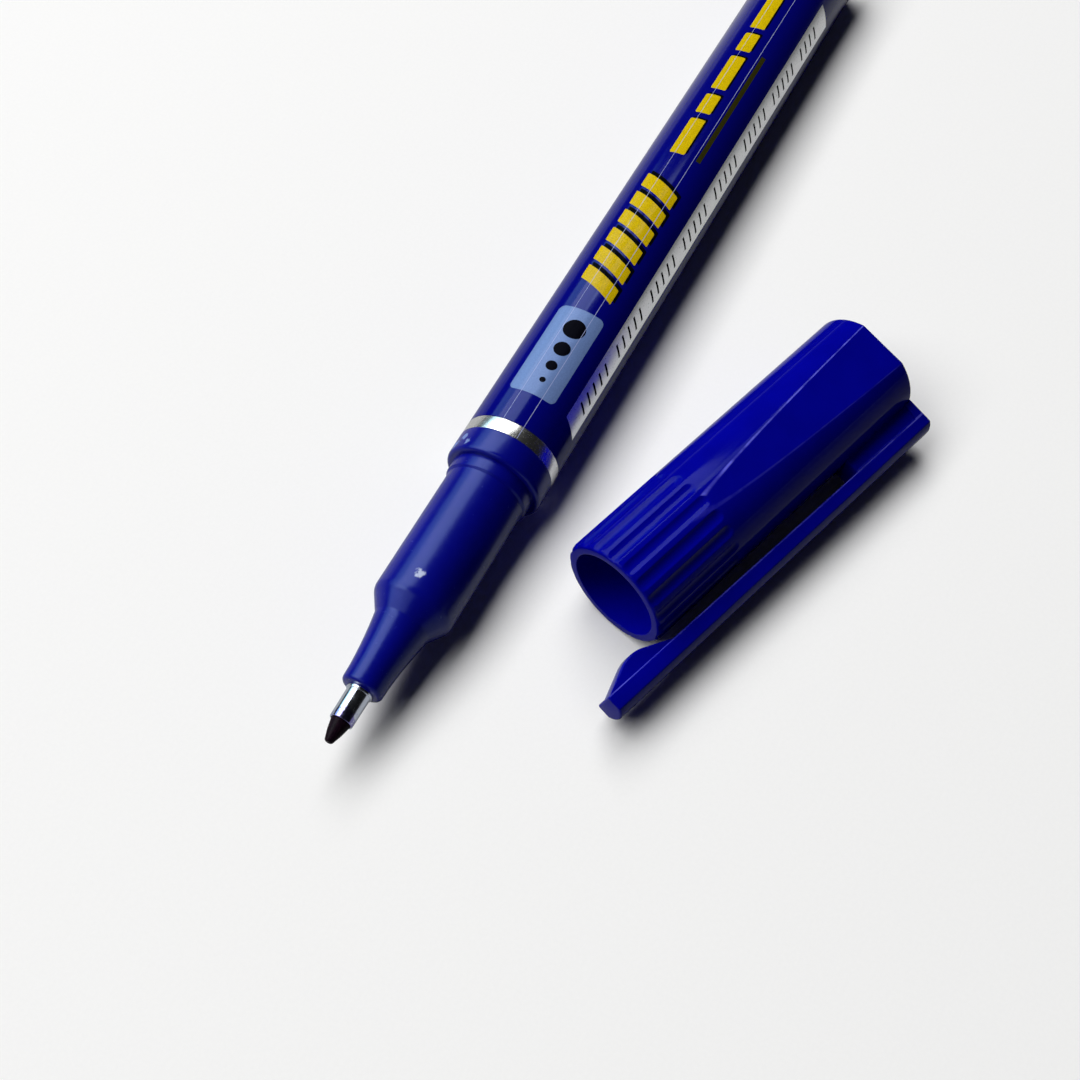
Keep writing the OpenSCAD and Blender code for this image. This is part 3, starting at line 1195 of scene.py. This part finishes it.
@dataclass
class WritingEnd:
    """The section that holds the nib, the metal sleeve and the fibre nib."""

    nose: float = 6.2
    shoulder: float = 14.3
    straight: float = 16.5
    collar: float = 31.9
    lip: float = 33.6
    spigot_end: float = 41.6
    section_radius: float = 4.5
    collar_radius: float = 4.75
    spigot_radius: float = 4.55
    nose_radius: float = 2.25
    nose_hollow: float = 0.14
    nose_ease: float = 0.75
    base_radius: float = 3.1
    shoulder_round: float = 0.9
    straight_round: float = 1.6
    collar_round: float = 0.12
    spigot_round: float = 0.2
    seat_radius: float = 1.35
    seat_length: float = 5.5
    seat_spare: float = 0.05
    channel_radius: float = 1.1
    chamber_radius: float = 3.3
    nib_out: float = 2.4
    nib_radius: float = 1.05
    nib_rear: float = 47.7
    nib_spare: float = 0.01
    point_radius: float = 0.45
    point_round: float = 0.38
    flank_radius: float = 0.8
    flank_round: float = 1.6
    sleeve_front: float = 1.26
    sleeve_base: float = 1.3
    ring_radius: float = 1.45
    ring_width: float = 0.4
    scuff_at: float = 18.4
    scuff_angle: float = math.radians(2.0)
    scuff_reach: float = 1.15
    ink_angle: float = math.radians(20.0)
    fine_segments: int = 96

    def build(self, bench: Bench) -> None:
        """Makes and dresses the pieces.

        Args:
            bench: where pieces are put together.
        """
        rubbed = Scuff(tuple(PEN_AXIS.point(self.scuff_at, self.section_radius, self.scuff_angle)),
                       self.scuff_reach * MM)
        plastic = MouldedPlastic("section_blue", BLUE, 0.24, grain=0.03, scuffs=(rubbed,))
        mesh = turned_mesh("nib_holder", PEN_AXIS, self.holder_outline(), closed=True)
        bench.add(mesh, Body.PEN, Slot.SECTION, plastic, "section")
        tip = tuple(PEN_AXIS.point(self.nib_out, self.nib_radius, self.ink_angle))
        metal = TurnedMetal("sleeve_plated", (0.64, 0.69, 0.8), 0.14, (0.2, 0.17, 0.5), tip)
        mesh = turned_mesh("nib_tube", PEN_AXIS, self.sleeve_outline(), True, self.fine_segments)
        bench.add(mesh, Body.PEN, Slot.SLEEVE, metal, "nib_sleeve")
        fibre = Fibre("nib_inked", (0.002, 0.001, 0.003), (0.016, 0.004, 0.012), 0.4, 0.05)
        mesh = turned_mesh("nib_rod", PEN_AXIS, self.nib_outline(), False, self.fine_segments)
        bench.add(mesh, Body.PEN, Slot.NIB, fibre, "nib")

    def holder_outline(self) -> list[Point2]:
        """Gives the section's outline, with its edges eased.

        Returns:
            The outline's places and radii.
        """
        ease = self.nose_ease * (self.nose_radius - self.seat_radius)
        step = self.collar_radius - self.section_radius
        run, rise = self.shoulder - self.nose - ease, self.base_radius - self.nose_radius
        hollow = [(self.nose + ease + run * f,
                   self.nose_radius + rise * f - 4 * self.nose_hollow * f * (1 - f), 0.0)
                  for f in (0.15, 0.3, 0.45, 0.6, 0.75, 0.9)]
        back = self.straight + self.section_radius
        ramp = back - self.chamber_radius + self.channel_radius
        seat_end = self.nose + self.seat_length + self.seat_spare
        return rounded([
            (self.nose, self.seat_radius, 0.0), (self.nose, self.nose_radius, ease), *hollow,
            (self.shoulder, self.base_radius, self.shoulder_round),
            (self.straight, self.section_radius, self.straight_round),
            (self.collar, self.section_radius, self.collar_round),
            (self.collar + step, self.collar_radius, self.collar_round),
            (self.lip, self.collar_radius, 0.0), (self.lip, self.spigot_radius, 0.0),
            (self.spigot_end, self.spigot_radius, self.spigot_round),
            (self.spigot_end, self.chamber_radius, 0.0),
            (back, self.chamber_radius, 0.0), (ramp, self.channel_radius, 0.0),
            (seat_end, self.channel_radius, 0.0), (seat_end, self.seat_radius, 0.0)], steps=8, closed=True)

    def sleeve_outline(self) -> list[Point2]:
        """Gives the metal sleeve's outline.

        Returns:
            The outline's places and radii.
        """
        ring, rear = self.nose - self.ring_width, self.nose + self.seat_length
        return rounded([
            (self.nib_out, self.channel_radius, 0.03), (self.nib_out, self.sleeve_front, 0.08),
            (ring, self.sleeve_base, 0.05), (ring, self.ring_radius, 0.09), (self.nose, self.ring_radius, 0.05),
            (self.nose, self.sleeve_base, 0.0), (rear, self.sleeve_base, 0.1),
            (rear, self.channel_radius, 0.0)], steps=5, closed=True)

    def nib_outline(self) -> list[Point2]:
        """Gives the nib's outline, with its rounded point.

        Returns:
            The outline's places and radii.
        """
        side = self.nib_radius - self.nib_spare
        return rounded([
            (0.0, 0.0, 0.0), (0.0, 0.92 * self.point_radius, self.point_round),
            (0.5 * self.nib_out, self.flank_radius, self.flank_round), (self.nib_out - 0.1, side, 0.5),
            (self.nib_rear - 0.9, side, 0.3), (self.nib_rear, 0.5, 0.0), (self.nib_rear, 0.0, 0.0)], steps=8)


@dataclass
class InkStore:
    """The fibre wad and the film round it, which stay as the CAD model has them."""

    def build(self, bench: Bench) -> None:
        """Dresses the pieces.

        Args:
            bench: where pieces are put together.
        """
        fibre = Fibre("wad_inked", (0.01, 0.01, 0.12), (0.05, 0.06, 0.3), 0.7)
        bench.finish_node("ink_reservoir", fibre)
        bench.finish_node("reservoir_film", Milky("wad_wrap", (0.62, 0.64, 0.72), 0.25))


@dataclass
class Cap:
    """The clip cap: fluted shell with two flats, clip, grip bead and inner cap."""

    radius: float = 6.4
    bore: float = 5.2
    seat: float = 5.0
    length: float = 40.5
    end_wall: float = 1.6
    mouth_round: float = 0.5
    mouth_blend: float = 0.2
    end_round: float = 0.35
    liner_at: float = 11.0
    flutes: int = 20
    flute_width: float = 1.5
    flute_depth: float = 0.24
    flute_length: float = 12.2
    flute_turn: float = math.radians(12.0)
    flute_blend: float = 0.06
    flat_depth: float = 0.7
    flat_start: float = 9.5
    flat_angle: float = math.radians(93.0)
    flat_blend: float = 0.05
    clip_width: float = 4.1
    clip_tip: float = -8.6
    clip_in_tip: float = 7.1
    clip_in_root: float = 8.05
    clip_out_tip: float = 9.55
    clip_out_root: float = 10.0
    clip_crown: float = 0.75
    clip_edge: float = 0.22
    end_bar: float = 1.0
    end_blend: float = 0.3
    rib_length: float = 11.0
    rib_width: float = 3.6
    rib_foot: float = 5.6
    rib_ease: float = 0.22
    bead_start: float = -7.9
    bead_length: float = 9.0
    bead_height: float = 2.0
    bead_round: float = 4.0
    bead_width: float = 2.2
    bead_ease: float = 0.25
    bead_sunk: float = 0.3
    # Painted highlight lines along the flats' and the clip's edges: full width and reach in millimetres, and
    # strength as a share.
    flat_highlight: Point3 = (0.016, 0.045, 0.75)
    clip_highlight: Point3 = (0.095, 0.135, 0.4)

    def build(self, bench: Bench) -> None:
        """Makes and dresses the pieces.

        Args:
            bench: where pieces are put together.
        """
        # The cap's plastic carries painted highlights along the flats' and the clip's edges.
        plastic = MouldedPlastic("cap_blue", CAP_BLUE, 0.07, grain=0.02, turn=CAP_TURN, gloss=0.06,
                                 gloss_tint=(0.7, 0.85, 1.0), edges=(*self.flat_edge_highlights(), *self.clip_edge_highlights()))
        bench.add(self.shell_mesh(), Body.CAP, Slot.CAP, plastic, "cap")
        for mesh in (self.clip_mesh(), self.rib_mesh(), self.bead_mesh()):
            bench.add(mesh, Body.CAP, Slot.CAP, plastic)
        bench.finish_node("inner_cap", MouldedPlastic("liner_blue", LINER_BLUE, 0.5))

    def flat_edge_highlights(self) -> list[PaintedEdgeHighlight]:
        """Finds the long edges of the two side flats, where they meet the round shell, for painted highlight
        lines that fade on the clip's shaded side.

        Returns:
            The edges.
        """
        full, reach, strength = self.flat_highlight
        slope = self.flat_depth / (self.length - self.flat_start)
        edges = []
        for side in (-1, 1):
            face = CAP_AXIS.outward(CLIP_ANGLE + side * self.flat_angle) + Vector(CAP_AXIS.along) * slope
            edges.append(PaintedEdgeHighlight(
                CAP_AXIS.point(0.0, 0.0, 0.0)[:], CAP_AXIS.along, full * MM, reach * MM, strength,
                radius=self.radius * MM, face=face[:], level=(self.radius + slope * self.flat_start) * MM,
                shade_side=CAP_AXIS.outward(CLIP_ANGLE)[:]))
        return edges

    def clip_edge_highlights(self) -> list[PaintedEdgeHighlight]:
        """Finds the clip's two long inner edges, for painted highlight lines.

        Returns:
            The edges.
        """
        full, reach, strength = self.clip_highlight
        edges = []
        for aside in (-self.clip_width / 2, self.clip_width / 2):
            tip = self.clip_point(self.clip_tip, aside, self.clip_in_tip)
            root = self.clip_point(self.length, aside, self.clip_in_root)
            edges.append(PaintedEdgeHighlight(tip[:], (root - tip).normalized()[:], full * MM, reach * MM, strength))
        return edges

    def flat_radius(self, place: float, angle: float) -> float:
        """Gives how far out the side flats let the shell come.

        Args:
            place: place along the cap from its mouth.
            angle: angle from the clip, in radians.

        Returns:
            The radius, or one beyond the shell where there is no flat.
        """
        drop = self.flat_depth * max(0.0, place - self.flat_start) / (self.length - self.flat_start)
        reach = 2 * self.radius
        for side in (-1, 1):
            lean = math.cos(angle - side * self.flat_angle)
            if lean > 0.5:
                reach = min(reach, (self.radius - drop) / lean)
        return reach

    def flute_radius(self, place: float, angle: float) -> float:
        """Gives how far out the flutes let the shell come.

        Args:
            place: place along the cap from its mouth.
            angle: angle from the clip, in radians.

        Returns:
            The radius, or one beyond the shell where there is no flute.
        """
        half, depth = self.flute_width / 2, self.flute_depth
        cut = (half**2 + depth**2) / (2 * depth)
        hub = self.radius - depth + cut
        pitch = math.tau / self.flutes
        off = (angle - self.flute_turn + pitch / 2) % pitch - pitch / 2
        past = max(0.0, place - self.flute_length + half)
        inside = cut**2 - past**2 - (hub * math.sin(off)) ** 2
        if past >= cut or inside <= 0:
            return 2 * self.radius
        return hub * math.cos(off) - math.sqrt(inside)

    def shell_radius(self, place: float, angle: float) -> float:
        """Gives the shell's outer radius.

        Args:
            place: place along the cap from its mouth.
            angle: angle from the clip, in radians.

        Returns:
            The radius.
        """
        body = smooth_min(self.radius, self.flat_radius(place, angle), self.flat_blend)
        body = smooth_min(body, self.flute_radius(place, angle), self.flute_blend)
        if place < self.mouth_round:
            body = smooth_min(body, self.radius - round_off(self.mouth_round, place), self.mouth_blend)
        return body - round_off(self.end_round, self.length - place)

    def shell_places(self) -> list[float]:
        """Spaces the rows of the outer skin along the cap, close together where it curves.

        Returns:
            The rows' places.
        """
        ease = quarter(self.mouth_round, 8, 12.5)
        run = [0.6, 1.0, 2.6, 4.5, 6.5, 8.5, 10.2]
        end = [self.flute_length - 1.35 + 0.09 * k for k in range(18)]
        plain = [12.9 + 1.0 * k for k in range(28)]
        close = [self.length - self.end_round * (1 - math.sin(math.radians(15.0 * k))) for k in range(7)]
        return sorted({round(t, 4) for t in ease + run + end + plain + close})

    def shell_angles(self) -> list[float]:
        """Spaces the columns of the skin round the cap, close together at the flutes' edges.

        Returns:
            The columns' angles from the clip, in radians.
        """
        half = [0.0, 1.3, 2.6, 3.8, 4.8, 5.5, 6.0, 6.35, 6.65, 6.95, 7.3, 7.8]
        offs = sorted({-h for h in half} | set(half)) + [9.0]
        pitch = 360.0 / self.flutes
        return [self.flute_turn + math.radians(pitch * k + off) for k in range(self.flutes) for off in offs]

    def shell_mesh(self) -> bpy.types.Mesh:
        """Makes the shell, inside and out.

        Returns:
            The mesh.
        """
        maker = MeshMaker()
        angles = self.shell_angles()

        def ring(place: float, reach: Callable[[float], float]) -> list[int]:
            """Adds a row round the cap, with a radius for each angle from the clip."""
            return maker.row(CAP_AXIS.point(place, reach(a), CLIP_ANGLE + a) for a in angles)

        floor = self.length - self.end_wall
        inside = rounded([
            (floor, 0.0, 0.0), (floor, self.seat, 0.3), (self.liner_at, self.seat, 0.05),
            (self.liner_at, self.bore, 0.05), (0.0, self.bore, 0.25),
            (0.0, self.radius - 2 * self.mouth_round, 0.0)], steps=5)
        rows = [ring(s, lambda a, r=r: r) for s, r in inside[1:]]
        rows += [ring(t, lambda a, t=t: self.shell_radius(t, a)) for t in self.shell_places()]
        for share in (0.97, 0.8, 0.4):
            rows.append(ring(self.length, lambda a, k=share: k * self.shell_radius(self.length, a)))
        maker.skin(rows)
        maker.lid(rows[0], CAP_AXIS.point(floor, 0.0, 0.0), turned=True)
        maker.lid(rows[-1], CAP_AXIS.point(self.length, 0.0, 0.0))
        return maker.mesh("cap_shell")

    def clip_point(self, place: float, aside: float, out: float) -> Vector:
        """Gives a point of the clip from its place along the cap, across the clip and out from the axis."""
        sine, cosine = math.sin(CLIP_ANGLE), math.cos(CLIP_ANGLE)
        return CAP_AXIS.offset(place, out * sine + aside * cosine, out * cosine - aside * sine)

    def clip_row(self, maker: MeshMaker, place: float, outline: Iterable[Point2]) -> list[int]:
        """Adds an outline across the clip as a row of points, and gives their numbers."""
        return maker.row(self.clip_point(place, x, y) for x, y in outline)

    def clip_inner(self, place: float) -> float:
        """Gives how far the clip's inner face is from the cap's axis at a place along it."""
        share = (place - self.clip_tip) / (self.length - self.clip_tip)
        return self.clip_in_tip + (self.clip_in_root - self.clip_in_tip) * share

    def clip_section(self, inner: float, outer: float, inset: float) -> list[Point2]:
        """Gives the clip's section.

        Args:
            inner: its inner face's distance from the cap's axis.
            outer: its outer face's distance from the cap's axis.
            inset: how far it is taken in on every side.

        Returns:
            The section's points, across the clip and out.
        """
        half = self.clip_width / 2 - inset
        crown = (half**2 + self.clip_crown**2) / (2 * self.clip_crown)
        top = [(x, outer - inset - crown + math.sqrt(crown**2 - x**2), 0.0)
               for x in (half * f for f in (0.75, 0.5, 0.25, 0.0, -0.25, -0.5, -0.75))]
        edge = outer - inset - self.clip_crown
        ease = max(0.02, self.clip_edge - 0.5 * inset)
        return rounded([(-half, inner + inset, ease), (half, inner + inset, ease), (half, edge, ease), *top,
                        (-half, edge, ease)], steps=5, closed=True)

    def clip_mesh(self) -> bpy.types.Mesh:
        """Makes the clip, from its free end to the end wall that joins it to the closed end.

        Returns:
            The mesh.
        """
        maker = MeshMaker()
        tip = [(e, round_off(self.clip_edge, e)) for e in quarter(self.clip_edge, 6, 18.0)]
        root = self.length - self.end_bar
        stations = [(self.clip_tip + e, inset) for e, inset in tip]
        stations += [(self.clip_tip + 1.0 + 1.5 * k, 0.0) for k in range(31)]
        stations += [(root - self.end_blend + 0.06 * k, 0.0) for k in range(11)]
        stations += [(self.length - e, inset) for e, inset in reversed(tip)]
        span = self.length - self.clip_tip
        rows = []
        for place, inset in stations:
            share = (place - self.clip_tip) / span
            inner = self.clip_inner(place)
            outer = self.clip_out_tip + (self.clip_out_root - self.clip_out_tip) * share
            sunk = min(1.0, max(0.0, (place - root + self.end_blend) / (2 * self.end_blend)))
            inner += (self.rib_foot - inner) * sunk * sunk * (3 - 2 * sunk)
            rows.append(self.clip_row(maker, place, self.clip_section(inner, outer, inset)))
        maker.bar(rows)
        return maker.mesh("cap_clip")

    def rib_mesh(self) -> bpy.types.Mesh:
        """Makes the rib under the clip, eased into the clip's inner face and at its front.

        Returns:
            The mesh.
        """
        maker = MeshMaker()
        start, half, ease = self.length - self.rib_length, self.rib_width / 2, self.rib_ease
        rows = []
        for place in [start + e for e in quarter(ease, 6, 18.0)] + [start + 1.0 + k for k in range(10)]:
            top, side = self.clip_inner(place), half - round_off(ease, place - start)
            flare = [(side + ease * (1 - math.cos(a)), top - ease * (1 - math.sin(a)))
                     for a in (math.radians(15.0 * k) for k in range(7))]
            outline = [(-side, self.rib_foot), (side, self.rib_foot), *flare, (side + ease, top + 0.2),
                       (-side - ease, top + 0.2), *((-x, y) for x, y in reversed(flare))]
            rows.append(self.clip_row(maker, place, outline))
        maker.bar(rows)
        return maker.mesh("clip_rib")

    def bead_mesh(self) -> bpy.types.Mesh:
        """Makes the grip bead on the clip's inner face, a wedge with a rounded crest.

        Returns:
            The mesh.
        """
        maker = MeshMaker()
        start, end = self.bead_start, self.bead_start + self.bead_length
        middle = (start + end) / 2
        crest = rounded([
            (start - 0.1, self.clip_inner(start) + 0.2, 0.0), (start, self.clip_inner(start) - 0.02, 0.08),
            (middle, self.clip_inner(middle) - self.bead_height, self.bead_round),
            (end, self.clip_inner(end) - 0.02, 0.08), (end + 0.1, self.clip_inner(end) + 0.2, 0.0)], steps=12)
        half = self.bead_width / 2
        rows = []
        for place, top in crest:
            face = self.clip_inner(place)
            foot = face + self.bead_sunk
            lift = min(self.bead_ease, max(0.01, face - top))
            outline = rounded([(-half, foot, 0.0), (half, foot, 0.0), (half, top, lift), (-half, top, lift)],
                              steps=5, closed=True)
            rows.append(self.clip_row(maker, place, outline))
        maker.bar(rows)
        return maker.mesh("clip_bead")


# Ground, light and camera


class Lights(Enum):
    """What a lamp lights."""

    MARKER = "marker"
    GROUND = "ground"


@dataclass
class Softbox:
    """An area lamp, aimed at the marker from a direction.

    Attributes:
        name: the lamp's name.
        lights: what it lights.
        towards: azimuth and height of the direction that it stands in, in degrees.
        shift: how far it is moved across and up, for each metre of distance.
        distance: distance from the marker, in metres.
        sides: its width and height, for each metre of distance.
        radiance: how bright its face looks.
        colour: the colour of its light.
    """

    name: str
    lights: Lights
    towards: Point2
    shift: Point2
    distance: float
    sides: Point2
    radiance: float
    colour: Colour = (1.0, 1.0, 1.0)

    def build(self, centre: Vector, ground: bpy.types.Object) -> None:
        """Makes the lamp.

        Args:
            centre: the point that it is aimed from, in metres.
            ground: the paper, which the lamp lights alone or leaves out.
        """
        azimuth, height = (math.radians(a) for a in self.towards)
        level = math.cos(height)
        out = Vector((level * math.cos(azimuth), level * math.sin(azimuth), math.sin(height)))
        across = Vector((math.sin(azimuth), -math.cos(azimuth), 0.0))
        lift = across.cross(out)
        lamp = bpy.data.lights.new(self.name, "AREA")
        lamp.shape = "RECTANGLE"
        lamp.size, lamp.size_y = (side * self.distance for side in self.sides)
        lamp.energy = self.radiance * math.pi * lamp.size * lamp.size_y
        lamp.color = self.colour
        made = bpy.data.objects.new(self.name, lamp)
        bpy.context.scene.collection.objects.link(made)
        where = centre + (out + across * self.shift[0] + lift * self.shift[1]) * self.distance
        turn = Matrix((-across, lift, out)).transposed()
        made.matrix_world = Matrix.Translation(where) @ turn.to_4x4()
        lit = bpy.data.collections.new(f"{self.name}_receivers")
        lit.objects.link(ground)
        if self.lights is Lights.MARKER:
            lit.collection_objects[0].light_linking.link_state = "EXCLUDE"
        made.light_linking.receiver_collection = lit


@dataclass
class Studio:
    """The paper ground, the lamps, the sky and the camera.

    Attributes:
        centre: the point that the lamps are aimed from, in millimetres.
        camera_at: where the camera stands, in millimetres.
        camera_aim: what it looks at, in millimetres.
        camera_roll: how far it is rolled, in radians.
        lens: its focal length, in millimetres.
        sensor: the width of its sensor, in millimetres.
        view: the nearest and farthest distance that it sees, in metres.
        reach: half the paper's side, in metres.
        drop: how far the paper lies under the marker, in metres.
        paper: the paper's finish.
        sky_top: height above the horizon, as a sine, at which the sky is dimmest to matt pieces.
        sky_tones: the sky's tone to matt pieces at the horizon and at that height.
        mirror_top: height above the horizon, as a sine, up to which metal shows the backdrop.
        lamps: the lamps.
    """

    centre: Point3 = (-20.0, 6.3, 5.0)
    camera_at: Point3 = (-111.3, -31.394, 150.0)
    camera_aim: Point3 = (-31.35, 10.426, 0.0)
    camera_roll: float = math.radians(-0.33)
    lens: float = 53.95
    sensor: float = 36.0
    view: Point2 = (0.005, 20.0)
    reach: float = 4.0
    drop: float = 0.00002
    paper: Paper = Paper("paper_white", PAPER_WHITE, bounce=0.36, mirrored=0.52, reach=160.0 * MM, fade=0.4)
    sky_top: float = 0.2
    sky_tones: Point2 = (0.052, 0.0086)
    mirror_top: float = 0.045
    lamps: tuple[Softbox, ...] = (
        Softbox("ground_softbox", Lights.GROUND, (86.0, 61.0), (0.0, 0.1), 1.0, (1.9, 0.66), 4.3),
        Softbox("key_softbox", Lights.MARKER, (73.0, 55.0), (-0.155, 0.0), 0.9, (1.39, 0.62), 4.6),
        Softbox("low_softbox", Lights.MARKER, (72.0, 30.0), (-0.275, 0.0), 0.9, (1.45, 0.3), 2.2,
                (0.5, 0.85, 1.0)),
        Softbox("front_softbox", Lights.MARKER, (142.0, 38.0), (0.0, 0.0), 0.8, (0.9, 0.7), 1.6),
        Softbox("edge_card", Lights.MARKER, (12.0, 53.0), (0.0, 0.0), 0.7, (0.2, 0.2), 3.0),
    )

    def build(self, bench: Bench) -> None:
        """Makes the ground, light and camera.

        Args:
            bench: where pieces are put together.
        """
        ground = self.ground(bench)
        self.sky()
        for lamp in self.lamps:
            lamp.build(Vector(self.centre) * MM, ground)
        self.camera()
        bpy.context.scene.view_settings.view_transform = "Standard"

    def ground(self, bench: Bench) -> bpy.types.Object:
        """Lays the paper, a hair under the marker.

        Args:
            bench: where pieces are put together.

        Returns:
            The paper.
        """
        mesh = bpy.data.meshes.new("paper_ground")
        r, z = self.reach, -self.drop
        mesh.from_pydata([(-r, -r, z), (r, -r, z), (r, r, z), (-r, r, z)], [], [(0, 1, 2, 3)])
        paper = bpy.data.objects.new("paper_ground", mesh)
        bpy.context.scene.collection.objects.link(paper)
        dress(paper, self.paper, bench.materials)
        return paper

    def sky(self) -> None:
        """Makes the surroundings: pale to the camera and, low down, to metal; dim to matt pieces."""
        world = bpy.data.worlds.new("studio_sky")
        world.use_nodes = True
        sky = Nodes(world.node_tree)
        split = sky.node("ShaderNodeSeparateXYZ")
        sky.link(sky.node("ShaderNodeTexCoord").outputs["Generated"], split.inputs["Vector"])
        dim = sky.spread(split.outputs["Z"], 0.0, self.sky_top, *self.sky_tones)
        low = sky.spread(split.outputs["Z"], 0.0, self.mirror_top, 1.0, 0.0)
        ray = sky.node("ShaderNodeLightPath").outputs
        mirrored = sky.maths("MAXIMUM", ray["Is Glossy Ray"], ray["Is Transmission Ray"])
        seen = sky.maths("MAXIMUM", sky.maths("MULTIPLY", mirrored, low), ray["Is Camera Ray"])
        pick = sky.node("ShaderNodeMix")
        pick.inputs["B"].default_value = BACKDROP
        sky.link(seen, pick.inputs["Factor"])
        sky.link(dim, pick.inputs["A"])
        glow = sky.node("ShaderNodeBackground")
        glow.inputs["Color"].default_value = (*PAPER_WHITE, 1.0)
        sky.link(pick.outputs["Result"], glow.inputs["Strength"])
        sky.link(glow.outputs["Background"], sky.node("ShaderNodeOutputWorld").inputs["Surface"])
        bpy.context.scene.world = world

    def camera(self) -> None:
        """Places the camera at the photograph's viewing angle."""
        data = bpy.data.cameras.new("photo_camera")
        data.lens, data.sensor_width = self.lens, self.sensor
        data.clip_start, data.clip_end = self.view
        camera = bpy.data.objects.new("photo_camera", data)
        bpy.context.scene.collection.objects.link(camera)
        where, aim = Vector(self.camera_at) * MM, Vector(self.camera_aim) * MM
        ahead = (aim - where).normalized()
        right = ahead.cross(Vector((0.0, 0.0, 1.0))).normalized()
        top = right.cross(ahead)
        c, s = math.cos(self.camera_roll), math.sin(self.camera_roll)
        right, top = right * c + top * s, top * c - right * s
        camera.matrix_world = Matrix.Translation(where) @ Matrix((right, top, -ahead)).transposed().to_4x4()
        bpy.context.scene.camera = camera


def main() -> None:
    """Builds the marker, its cap and the studio."""
    logging.basicConfig(level=logging.INFO, format="%(name)s %(message)s")
    bench = Bench(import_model())
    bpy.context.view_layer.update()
    for part in (Barrel(), Label(), WritingEnd(), InkStore(), Cap(), Studio()):
        part.build(bench)
        LOG.info("%s done", type(part).__name__)


if __name__ == "__main__":
    main()
